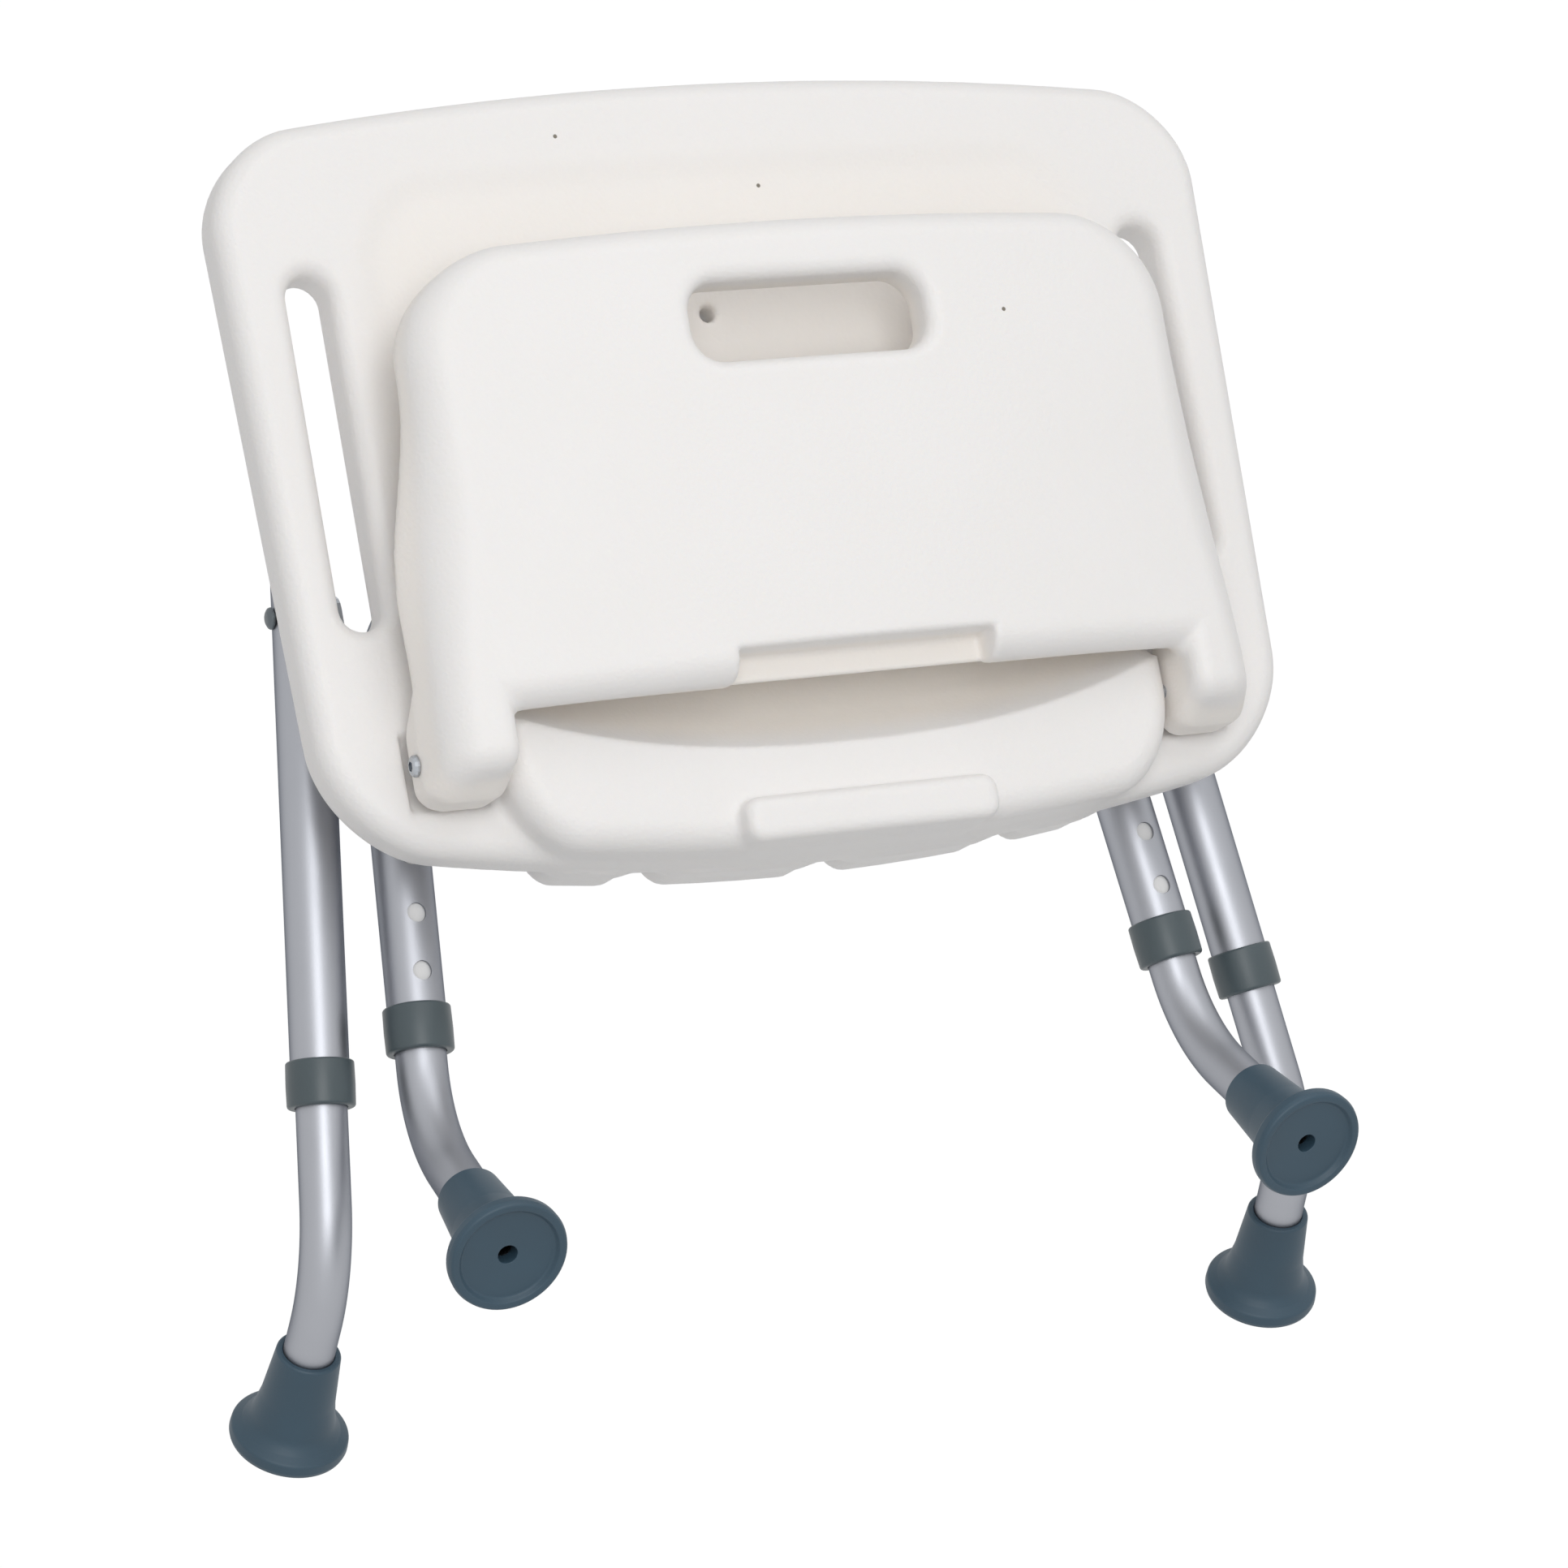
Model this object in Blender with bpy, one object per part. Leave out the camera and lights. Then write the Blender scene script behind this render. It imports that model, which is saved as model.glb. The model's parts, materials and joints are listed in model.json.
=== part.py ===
"""Folding shower chair, lying folded: blow-moulded seat, fold-down backrest, four telescopic legs.

Seat frame: +X to the right of a person who sits in it, +Y to the seat's front edge, +Z up from the seat.
Z is 0 on top of the seat rim, and X is 0 on the chair's plane of symmetry. The whole chair is then
stood on the world origin, so that the origin is the bottom centre of its box. Lengths are in metres.
"""

import math

import bmesh
import bpy
from mathutils import Matrix, Quaternion, Vector

MM = 0.001
CLEARANCE = 0.3 * MM

# Seat shell
SEAT_HALF_WIDTH_FRONT = 238.0 * MM
SEAT_HALF_WIDTH_REAR = 228.5 * MM
SEAT_FRONT_Y = 301.5 * MM
SEAT_REAR_Y = -6.0 * MM
SEAT_FRONT_BOW = 17.0 * MM
SEAT_REAR_BOW = 26.0 * MM
SEAT_FRONT_CORNER = 41.0 * MM
SEAT_REAR_CORNER = 46.0 * MM
SEAT_THICKNESS = 27.0 * MM
RIM_TOP_RADIUS = 10.0 * MM
RIM_BOTTOM_RADIUS = 7.0 * MM
DISH_MARGIN = 28.0 * MM
DISH_HALF_WIDTH = 172.0 * MM
DISH_REAR_GAP = 4.0 * MM
DISH_DEPTH = 1.6 * MM
DISH_STEP_WIDTH = 5.0 * MM
DISH_CORNER = 34.0 * MM
GRIP_SLOT_X = 199.8 * MM
GRIP_SLOT_Y = 161.5 * MM
GRIP_SLOT_WIDTH = 19.6 * MM
GRIP_SLOT_LENGTH = 157.0 * MM
GRIP_SLOT_FILLET = 8.0 * MM
DRAIN_X = -18.0 * MM
DRAIN_Y = 211.5 * MM
DRAIN_DIAMETER = 7.0 * MM
DRAIN_DISH_DIAMETER = 15.0 * MM

# Pads across the rear of the seat's underside
PAD_EDGES_X = (-138.0 * MM, -86.0 * MM, 0.0, 86.0 * MM, 138.0 * MM)
PAD_REAR_INSET = 1.5 * MM
PAD_FRONT_Y = 78.0 * MM
PAD_DROP = 21.0 * MM
PAD_RADIUS = 9.0 * MM
PAD_GROOVE = 3.0 * MM

# Backrest, folded down: an arched panel whose sides widen towards its inner face
BACK_PIVOT_Y = 21.0 * MM
BACK_PIVOT_Z = 14.0 * MM
BACK_FACE_Z = 60.8 * MM
BACK_RISE = 0.022
BACK_THICKNESS = 26.0 * MM
BACK_FACE_RADIUS = 12.0 * MM
BACK_INNER_RADIUS = 8.0 * MM
BACK_ARCH_HALF_SPAN = 180.0 * MM
BACK_ARCH_LOWER = 14.0 * MM
BACK_ARCH_UPPER = 10.0 * MM
BACK_ARCH_START_Y = 70.0 * MM
BACK_ARCH_END_Y = 200.0 * MM
BACK_INNER_ARCH_POWER = 6.0
BACK_LOWER_Y = 35.5 * MM
BACK_TOP_Y = 228.5 * MM
BACK_TOP_BOW = 6.5 * MM
BACK_TOP_HALF_WIDTH = 174.0 * MM
BACK_LUG_HALF_WIDTH = 187.5 * MM
BACK_FLARE_START_Y = 25.0 * MM
BACK_FLARE_END_Y = 135.0 * MM
BACK_TOP_CORNER = 54.0 * MM
BACK_SIDE_DRAFT = 7.0 * MM
BACK_SIDE_SWELL = 8.0 * MM
BACK_SWELL_START_Y = 40.0 * MM
BACK_SWELL_END_Y = 180.0 * MM
BACK_SIDE_STRIP = 37.0 * MM
HAND_SLOT_Y = 187.0 * MM
HAND_SLOT_LENGTH = 107.0 * MM
HAND_SLOT_HEIGHT = 28.0 * MM
HAND_SLOT_FILLET = 8.0 * MM
STOP_NOTCH_END_Y = 48.5 * MM
STOP_NOTCH_DEPTH = 20.8 * MM
STOP_NOTCH_CORNER = 5.0 * MM

# Lugs that wrap round the backrest's pivot
LUG_WIDTH = 28.3 * MM
LUG_FLOOR_Z = 0.6 * MM
LUG_REAR_Y = 2.0 * MM
LUG_REAR_LEAN = 0.42
LUG_LEAN_START_Z = 11.0 * MM
LUG_FRONT_Y = 41.0 * MM
LUG_FRONT_SLOPE_Z = 3.4 * MM
LUG_BLEND_Y = 82.0 * MM
LUG_CORNER = 11.5 * MM
LUG_BOTTOM_RADIUS = 9.0 * MM
LUG_TOP_RADIUS = 11.0 * MM
LUG_SINK = 0.3 * MM
LUG_SWING_RADIUS = 20.8 * MM
LUG_SIDE_MARGIN = 1.0 * MM

# Raised block between the lugs, its scoop, and the stop that the raised backrest leans on
BLOCK_END_GAP = 0.7 * MM
BLOCK_HALF_WIDTH = BACK_LUG_HALF_WIDTH - LUG_WIDTH - BLOCK_END_GAP
BLOCK_HEIGHT = 25.0 * MM
BLOCK_RADIUS = 9.0 * MM
BLOCK_REAR_INSET = 1.0 * MM
BLOCK_FRONT_Y = 62.0 * MM
BLOCK_CORNER = 16.0 * MM
SCOOP_EDGE_Y = 11.0 * MM
SCOOP_EDGE_BOW = 26.5 * MM
SCOOP_EDGE_POWER = 2.4
SCOOP_LENGTH = 38.0 * MM
STOP_HALF_WIDTH = 59.5 * MM
STOP_NOTCH_SIDE_GAP = 0.9 * MM
STOP_FRONT_Y = -10.5 * MM
STOP_REAR_Y = -30.0 * MM
STOP_HEIGHT = 37.0 * MM
STOP_ROOT_Z = -9.0 * MM
STOP_RADIUS = 5.0 * MM

# Backrest pivot screws
PIVOT_SCREW_DIAMETER = 6.0 * MM
PIVOT_SCREW_HEAD_DIAMETER = 9.5 * MM
PIVOT_SCREW_HEAD_HEIGHT = 2.6 * MM
PIVOT_SCREW_BITE = 22.0 * MM
HEX_SOCKET_WIDTH = 4.0 * MM
HEX_SOCKET_DEPTH = 1.6 * MM

# Leg tubes, holes and snap buttons
UPPER_TUBE_DIAMETER = 25.4 * MM
UPPER_TUBE_WALL = 1.2 * MM
LOWER_TUBE_DIAMETER = 22.2 * MM
LOWER_TUBE_WALL = 1.2 * MM
TUBE_SIDES = 16
HOLE_DIAMETER = 8.5 * MM
HOLE_PITCH = 25.4 * MM
HOLE_COUNT = 4
FIRST_HOLE = 23.5 * MM
TUBE_END_TAIL = 15.0 * MM
LOWER_BEND_RADIUS = 67.0 * MM
BUTTON_DIAMETER = 7.8 * MM
BUTTON_STAND = 2.4 * MM
SPRING_WIDTH = 6.0 * MM
SPRING_GAUGE = 0.8 * MM
SPRING_LENGTH = 30.0 * MM

# Collars, feet and their washers
COLLAR_DIAMETER = 29.6 * MM
COLLAR_LENGTH = 20.0 * MM
COLLAR_LIP = 4.0 * MM
FOOT_SOLE_RADIUS = 26.0 * MM
FOOT_MOUTH_RADIUS = 13.8 * MM
FOOT_HEIGHT = 50.0 * MM
FOOT_FLANGE = 8.0 * MM
FOOT_FLOOR = 9.0 * MM
FOOT_HOLE_DIAMETER = 8.5 * MM
FOOT_SIDES = 18
WASHER_THICKNESS = 1.5 * MM

# Front legs: one bent tube that turns in two clamp blocks under the seat
FRONT_AXIS_Y = 130.0 * MM
FRONT_AXIS_Z = -79.6 * MM
FRONT_CORNER_X = 162.3 * MM
FRONT_COLLAR = Vector((181.8 * MM, -77.0 * MM, -69.4 * MM))
FRONT_CORNER_RADIUS = 70.0 * MM
FRONT_KNEE = 45.9 * MM
FRONT_SHIN = 100.6 * MM
FRONT_FOOT_ANGLE = math.radians(50.4)
FRONT_FOOT_SPLAY = 0.034
FRONT_HOLES_OUT = 0
CLAMP_X = 75.0 * MM
CLAMP_WIDTH = 24.0 * MM
CLAMP_LENGTH = 50.0 * MM
CLAMP_BASE_LENGTH = 70.0 * MM
CLAMP_WALL = 7.0 * MM
CLAMP_SCREW_DIAMETER = 4.5 * MM
CLAMP_SCREW_HEAD = 8.5 * MM
CLAMP_SCREW_LENGTH = 26.0 * MM
BRACKET_SCREW_LENGTH = 16.0 * MM

# Rear legs: each turns on a rivet through a bracket under the seat
REAR_PIVOT = Vector((200.4 * MM, 109.6 * MM, -76.2 * MM))
REAR_COLLAR = Vector((225.4 * MM, -93.5 * MM, -80.8 * MM))
REAR_TUBE_TAIL = 13.5 * MM
REAR_KNEE = 80.5 * MM
REAR_SHIN = 93.6 * MM
REAR_FOOT_ANGLE = math.radians(49.3)
REAR_FOOT_SPLAY = 0.06
REAR_HOLES_OUT = 1
RIVET_DIAMETER = 6.0 * MM
RIVET_DOME_DIAMETER = 10.0 * MM
RIVET_DOME_HEIGHT = 2.4 * MM
RIVET_TAIL_DIAMETER = 10.0 * MM
RIVET_TAIL_HEIGHT = 1.8 * MM
BRACKET_PLATE_X = 184.0 * MM
BRACKET_GAUGE = 2.0 * MM
BRACKET_REAR_Y = 38.0 * MM
BRACKET_FRONT_Y = 79.0 * MM
BRACKET_FLANGE = 34.0 * MM
BRACKET_REAR_HEIGHT = 14.0 * MM
BRACKET_HEEL_DROP = 12.0 * MM
BRACKET_EYE_RADIUS = 7.2 * MM
SPACER_DIAMETER = 12.0 * MM

# The longest straight step along a bowed outline
OUTLINE_STEP = 60.0 * MM

X_AXIS = Vector((1.0, 0.0, 0.0))
Y_AXIS = Vector((0.0, 1.0, 0.0))
Z_AXIS = Vector((0.0, 0.0, 1.0))
SIDES = (("left", -1.0), ("right", 1.0))


def clear_scene():
    """Remove every object that the file already holds."""
    for old in list(bpy.data.objects):
        bpy.data.objects.remove(old, do_unlink=True)


def make_material(name, color, roughness, metallic=0.0):
    """Return a Principled material with the given colour, roughness and metallic value."""
    material = bpy.data.materials.new(name)
    material.use_nodes = True
    shader = material.node_tree.nodes["Principled BSDF"]
    shader.inputs["Base Color"].default_value = (*color, 1.0)
    shader.inputs["Roughness"].default_value = roughness
    shader.inputs["Metallic"].default_value = metallic
    return material


def link_mesh(name, bm, material, pivot=None, parent=None):
    """Turn a bmesh into a named object whose origin is its pivot."""
    bmesh.ops.recalc_face_normals(bm, faces=bm.faces)
    origin = pivot if pivot is not None else Vector((0.0, 0.0, 0.0))
    bmesh.ops.translate(bm, verts=bm.verts, vec=-origin)
    mesh = bpy.data.meshes.new(name)
    bm.to_mesh(mesh)
    bm.free()
    mesh.shade_smooth()
    mesh.set_sharp_from_angle(angle=math.radians(35.0))
    obj = bpy.data.objects.new(name, mesh)
    bpy.context.collection.objects.link(obj)
    obj.location = origin
    obj.parent = parent
    if material is not None:
        mesh.materials.append(material)
    return obj


def make_guide(name, bm, parent):
    """Return a hidden object that only serves as a boolean operand."""
    guide = link_mesh(name, bm, None, parent=parent)
    guide.hide_render = True
    guide.display_type = "WIRE"
    return guide


def combine(target, operand, operation):
    """Add an exact boolean of the given operation to the target."""
    modifier = target.modifiers.new(f"{operation.lower()}_{operand.name}", "BOOLEAN")
    modifier.operation = operation
    modifier.object = operand


def cut(target, name, bm):
    """Cut a bmesh out of the target."""
    combine(target, make_guide(name, bm, target.parent), "DIFFERENCE")


def fuse(target, name, bm):
    """Fuse a bmesh to the target."""
    combine(target, make_guide(name, bm, target.parent), "UNION")


def loft(rings, closed=False):
    """Skin equal rings of points. The ends are capped, or joined to each other when closed."""
    bm = bmesh.new()
    rows = [[bm.verts.new(point) for point in ring] for ring in rings]
    pairs = list(zip(rows, rows[1:]))
    if closed:
        pairs.append((rows[-1], rows[0]))
    for lower, upper in pairs:
        for i in range(len(lower)):
            j = (i + 1) % len(lower)
            bm.faces.new((lower[i], lower[j], upper[j], upper[i]))
    if not closed:
        bm.faces.new(list(reversed(rows[0])))
        bm.faces.new(rows[-1])
    return bm


def arc(center, radius, start, end, steps):
    """Return the points of an arc in a plane, both ends included."""
    angles = (start + (end - start) * i / steps for i in range(steps + 1))
    return [Vector((center[0] + radius * math.cos(a), center[1] + radius * math.sin(a))) for a in angles]


def rounded_corner(before, corner, after, radius, step):
    """Return the arc that rounds a corner, in the plane or in space."""
    to_before = (before - corner).normalized()
    to_after = (after - corner).normalized()
    turn = math.pi - to_before.angle(to_after)
    if radius <= 0.0 or turn < 1e-6:
        return [corner]
    reach = radius * math.tan(turn / 2.0)
    bisector = (to_before + to_after).normalized()
    center = corner + bisector * (radius / math.cos(turn / 2.0))
    first = corner + to_before * reach - center
    last = corner + to_after * reach - center
    count = max(1, math.ceil(turn / step))
    points = []
    for i in range(count + 1):
        t = turn * i / count
        points.append(center + (first * math.sin(turn - t) + last * math.sin(t)) / math.sin(turn))
    return points


def rounded_outline(corners, step=math.radians(15.0)):
    """Return the points of a closed outline whose corners are (x, y, radius)."""
    points = []
    count = len(corners)
    for i, (x, y, radius) in enumerate(corners):
        before = Vector(corners[i - 1][:2])
        after = Vector(corners[(i + 1) % count][:2])
        points += rounded_corner(before, Vector((x, y)), after, radius, step)
    return points


def split_long_edges(points, longest):
    """Add even points along the outline edges that are longer than the given length."""
    result = []
    for i, point in enumerate(points):
        following = points[(i + 1) % len(points)]
        parts = max(1, round((following - point).length / longest))
        result += [point.lerp(following, k / parts) for k in range(parts)]
    return result


def inset_outline(points, distance):
    """Move a counter-clockwise outline inwards by a distance."""
    result = []
    for i, point in enumerate(points):
        arriving = (point - points[i - 1]).normalized()
        leaving = (points[(i + 1) % len(points)] - point).normalized()
        normal_a = Vector((-arriving.y, arriving.x))
        normal_b = Vector((-leaving.y, leaving.x))
        middle = (normal_a + normal_b).normalized()
        result.append(point + middle * (distance / max(0.3, middle.dot(normal_a))))
    return result


def layered(outline, layers):
    """Loft an outline through (inset, height) layers, from the bottom up."""
    return loft([[Vector((p.x, p.y, z)) for p in inset_outline(outline, inset)] for inset, z in layers])


def soft_slab_layers(bottom, top, bottom_radius, top_radius, steps=3):
    """Return the (inset, height) layers of a slab with rounded lower and upper edges."""
    layers = []
    for i in range(steps + 1):
        a = 0.5 * math.pi * i / steps
        layers.append((bottom_radius * (1.0 - math.sin(a)), bottom + bottom_radius * (1.0 - math.cos(a))))
    for i in range(steps + 1):
        a = 0.5 * math.pi * i / steps
        layers.append((top_radius * (1.0 - math.cos(a)), top - top_radius * (1.0 - math.sin(a))))
    return layers


def flared_cut_layers(bottom, top, radius, steps=2):
    """Return the layers of a through cut whose two rims flare open by a radius."""
    over = 2.0 * MM
    layers = [(-radius, bottom - over)]
    for i in range(steps + 1):
        a = 0.5 * math.pi * i / steps
        layers.append((-radius * (1.0 - math.sin(a)), bottom + radius * (1.0 - math.cos(a))))
    for i in range(steps + 1):
        a = 0.5 * math.pi * (1.0 - i / steps)
        layers.append((-radius * (1.0 - math.sin(a)), top - radius * (1.0 - math.cos(a))))
    layers.append((-radius, top + over))
    return layers


def prism(profile, start, end, axis="X"):
    """Extrude a closed (a, b) profile along X, or along Z as an (x, y) outline."""
    if axis == "X":
        return loft([[Vector((x, p[0], p[1])) for p in profile] for x in (start, end)])
    return loft([[Vector((p[0], p[1], z)) for p in profile] for z in (start, end)])


def rod(start, end, radius, sides=16):
    """Return a closed cylinder between two points."""
    return pipe([start, end], radius, 0.0, sides)


def sweep_rings(path, radius, sides, up):
    """Return the rings of a round tube along a path, with its first vertex turned to a direction."""
    rings = []
    side = up
    for i, point in enumerate(path):
        ahead = (path[min(i + 1, len(path) - 1)] - point).normalized()
        behind = (point - path[max(i - 1, 0)]).normalized()
        tangent = (ahead + behind).normalized()
        side = (side - tangent * side.dot(tangent)).normalized()
        across = tangent.cross(side)
        miter = 1.0
        if 0 < i < len(path) - 1:
            miter = 1.0 / max(0.5, tangent.dot(ahead))
        bend = (ahead - behind)
        bend_dir = bend.normalized() if bend.length > 1e-6 else None
        ring = []
        for k in range(sides):
            a = 2.0 * math.pi * k / sides
            offset = (side * math.cos(a) + across * math.sin(a)) * radius
            if bend_dir is not None:
                offset += bend_dir * (offset.dot(bend_dir) * (miter - 1.0))
            ring.append(point + offset)
        rings.append(ring)
    return rings


def pipe(path, outer, bore, sides=TUBE_SIDES, up=None):
    """Return a round tube along a path, open at both ends if it has a bore."""
    start = (path[1] - path[0]).normalized()
    if up is None:
        up = Z_AXIS if abs(start.z) < 0.9 else X_AXIS
    rings = sweep_rings(path, outer, sides, up)
    if bore <= 0.0:
        return loft(rings)
    return loft(rings + list(reversed(sweep_rings(path, bore, sides, up))), closed=True)


def revolve(profile, sides, frame):
    """Turn a closed (radius, height) profile round a frame's Z axis."""
    rings = []
    for k in range(sides):
        turn = Matrix.Rotation(2.0 * math.pi * k / sides, 4, "Z")
        rings.append([frame @ turn @ Vector((radius, 0.0, height)) for radius, height in profile])
    return loft(rings, closed=True)


def axis_frame(origin, axis, side=None):
    """Return the matrix whose origin and Z axis are given, and whose X axis is near the side."""
    z = axis.normalized()
    if side is None:
        side = X_AXIS if abs(z.x) < 0.9 else Y_AXIS
    x = (side - z * side.dot(z)).normalized()
    y = z.cross(x)
    frame = Matrix((x, y, z)).transposed().to_4x4()
    frame.translation = origin
    return frame


def add_axis(name, location, parent):
    """Return an empty that stands on a joint's axis."""
    empty = bpy.data.objects.new(name, None)
    empty.empty_display_size = 0.02
    bpy.context.collection.objects.link(empty)
    empty.location = location
    empty.parent = parent
    return empty


def seat_outline():
    """Return the seat's outline: a tapered slab with round corners and bowed front and rear edges."""
    corners = [
        (-SEAT_HALF_WIDTH_REAR, SEAT_REAR_Y, SEAT_REAR_CORNER),
        (SEAT_HALF_WIDTH_REAR, SEAT_REAR_Y, SEAT_REAR_CORNER),
        (SEAT_HALF_WIDTH_FRONT, SEAT_FRONT_Y, SEAT_FRONT_CORNER),
        (-SEAT_HALF_WIDTH_FRONT, SEAT_FRONT_Y, SEAT_FRONT_CORNER),
    ]
    points = split_long_edges(rounded_outline(corners, math.radians(15.0)), OUTLINE_STEP)
    return [seat_bow(point) for point in points]


def seat_bow(point):
    """Push a point of the seat's outline out by the bow of the front or rear edge."""
    if point.y > SEAT_FRONT_Y - SEAT_FRONT_CORNER:
        reach = (point.y - SEAT_FRONT_Y + SEAT_FRONT_CORNER) / SEAT_FRONT_CORNER
        bow = SEAT_FRONT_BOW * (1.0 - (point.x / SEAT_HALF_WIDTH_FRONT) ** 2)
        return Vector((point.x, point.y + bow * reach))
    if point.y < SEAT_REAR_Y + SEAT_REAR_CORNER:
        reach = (SEAT_REAR_Y + SEAT_REAR_CORNER - point.y) / SEAT_REAR_CORNER
        bow = SEAT_REAR_BOW * (1.0 - (point.x / SEAT_HALF_WIDTH_REAR) ** 2)
        return Vector((point.x, point.y - bow * reach))
    return point


def rear_edge_y(x):
    """Return where the seat's rear edge lies at a given x."""
    return SEAT_REAR_Y - SEAT_REAR_BOW * (1.0 - (x / SEAT_HALF_WIDTH_REAR) ** 2)


def follow_rear_edge(outline, front, inset):
    """Bow an outline that starts at y 0 so that its rear side follows the seat's rear edge."""
    bowed = []
    for point in outline:
        rear = rear_edge_y(point.x) + inset
        bowed.append(Vector((point.x, point.y + rear * (1.0 - point.y / front))))
    return bowed


def box_outline(half_width, y_low, y_high, corner):
    """Return a rectangle's outline with round corners, symmetric in x."""
    return rounded_outline(
        [
            (-half_width, y_low, corner),
            (half_width, y_low, corner),
            (half_width, y_high, corner),
            (-half_width, y_high, corner),
        ],
        math.radians(22.5),
    )


def slot_outline(center_x, center_y, width, length, step=math.radians(30.0)):
    """Return the outline of a slot with half-round ends, upright when it is longer than wide."""
    corner = 0.499 * min(width, length)
    return rounded_outline(
        [
            (center_x - width / 2, center_y - length / 2, corner),
            (center_x + width / 2, center_y - length / 2, corner),
            (center_x + width / 2, center_y + length / 2, corner),
            (center_x - width / 2, center_y + length / 2, corner),
        ],
        step,
    )


def rear_block():
    """Return the raised block along the rear edge, bowed like the edge itself."""
    outline = box_outline(BLOCK_HALF_WIDTH, 0.0, BLOCK_FRONT_Y, BLOCK_CORNER)
    outline = split_long_edges(outline, 0.25 * BLOCK_HALF_WIDTH)
    layers = soft_slab_layers(-0.5 * SEAT_THICKNESS, BLOCK_HEIGHT, 0.5 * MM, BLOCK_RADIUS)
    return layered(follow_rear_edge(outline, BLOCK_FRONT_Y, BLOCK_REAR_INSET), layers[3:])


def scoop_cutter():
    """Return the solid over the block's hollow front slope."""
    columns = 12
    rows = 5
    over = 6.0 * MM
    reach = BLOCK_HALF_WIDTH + BLOCK_END_GAP
    ceiling = BLOCK_HEIGHT + 2.0 * over
    floor = -0.5 * DISH_DEPTH
    front = SCOOP_EDGE_Y + SCOOP_EDGE_BOW + SCOOP_LENGTH + over
    rings = []
    for i in range(columns + 1):
        x = -reach + 2.0 * reach * i / columns
        edge = SCOOP_EDGE_Y + SCOOP_EDGE_BOW * (abs(x) / reach) ** SCOOP_EDGE_POWER
        ring = [Vector((x, edge - over, ceiling))]
        for k in range(rows + 1):
            s = k / rows
            ring.append(Vector((x, edge + SCOOP_LENGTH * s, floor + (BLOCK_HEIGHT - floor) * (1.0 - s) ** 2)))
        ring.append(Vector((x, front, floor)))
        ring.append(Vector((x, front, ceiling)))
        rings.append(ring)
    return loft(rings)


def back_stop():
    """Return the tab on the block that the raised backrest leans on."""
    outline = box_outline(STOP_HALF_WIDTH, STOP_REAR_Y, STOP_FRONT_Y, STOP_RADIUS + 2.0 * MM)
    layers = soft_slab_layers(STOP_ROOT_Z, STOP_HEIGHT, 0.5 * MM, STOP_RADIUS, 2)
    return layered(outline, layers[2:])


def underside_pad(start, end):
    """Return one of the moulded pads across the rear of the underside."""
    center = 0.5 * (start + end)
    outline = box_outline(0.5 * (end - start) - PAD_GROOVE, 0.0, PAD_FRONT_Y, PAD_RADIUS + 4.0 * MM)
    shifted = [Vector((p.x + center, p.y)) for p in outline]
    top = -0.5 * SEAT_THICKNESS
    bottom = -SEAT_THICKNESS - PAD_DROP
    layers = soft_slab_layers(bottom, top, PAD_RADIUS, 0.5 * MM, 2)
    return layered(follow_rear_edge(shifted, PAD_FRONT_Y, PAD_REAR_INSET), layers[:4])


def lug_pocket(sign):
    """Return the round pocket of the seat that a backrest lug turns in."""
    inner = BACK_LUG_HALF_WIDTH - LUG_WIDTH - BLOCK_END_GAP
    outer = BACK_LUG_HALF_WIDTH + BACK_SIDE_DRAFT + LUG_SIDE_MARGIN
    start = Vector((sign * inner, BACK_PIVOT_Y, BACK_PIVOT_Z))
    end = Vector((sign * outer, BACK_PIVOT_Y, BACK_PIVOT_Z))
    return rod(start, end, LUG_SWING_RADIUS, 24)


def build_seat(plastic, assembly):
    """Build the seat shell with its block, stop, slots, dish, pockets and pads."""
    outline = seat_outline()
    slab = layered(outline, soft_slab_layers(-SEAT_THICKNESS, 0.0, RIM_BOTTOM_RADIUS, RIM_TOP_RADIUS))
    seat = link_mesh("seat_shell", slab, plastic, parent=assembly)
    fuse(seat, "rear_block_form", rear_block())
    cut(seat, "scoop_form", scoop_cutter())
    fuse(seat, "back_stop_form", back_stop())
    for index, (start, end) in enumerate(zip(PAD_EDGES_X, PAD_EDGES_X[1:])):
        fuse(seat, f"underside_pad_form_{index}", underside_pad(start, end))
    dish = rounded_outline(
        [
            (-DISH_HALF_WIDTH, BLOCK_FRONT_Y + DISH_REAR_GAP, DISH_CORNER),
            (DISH_HALF_WIDTH, BLOCK_FRONT_Y + DISH_REAR_GAP, DISH_CORNER),
            (DISH_HALF_WIDTH, SEAT_FRONT_Y - DISH_MARGIN, DISH_CORNER),
            (-DISH_HALF_WIDTH, SEAT_FRONT_Y - DISH_MARGIN, DISH_CORNER),
        ]
    )
    dish = [seat_bow(point) for point in split_long_edges(dish, OUTLINE_STEP)]
    cut(seat, "dish_form", layered(dish, [(DISH_STEP_WIDTH, -DISH_DEPTH), (-DISH_STEP_WIDTH, DISH_DEPTH)]))
    for side, sign in SIDES:
        slot = slot_outline(sign * GRIP_SLOT_X, GRIP_SLOT_Y, GRIP_SLOT_WIDTH, GRIP_SLOT_LENGTH)
        slot_form = layered(slot, flared_cut_layers(-SEAT_THICKNESS, 0.0, GRIP_SLOT_FILLET))
        cut(seat, f"grip_slot_form_{side}", slot_form)
        cut(seat, f"lug_pocket_form_{side}", lug_pocket(sign))
        cut(seat, f"pivot_hole_form_{side}", pivot_screw_hole(sign))
    drain = axis_frame(Vector((DRAIN_X, DRAIN_Y, 0.0)), Z_AXIS)
    cut(seat, "drain_form", drain_cutter(drain))
    return seat


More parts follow.
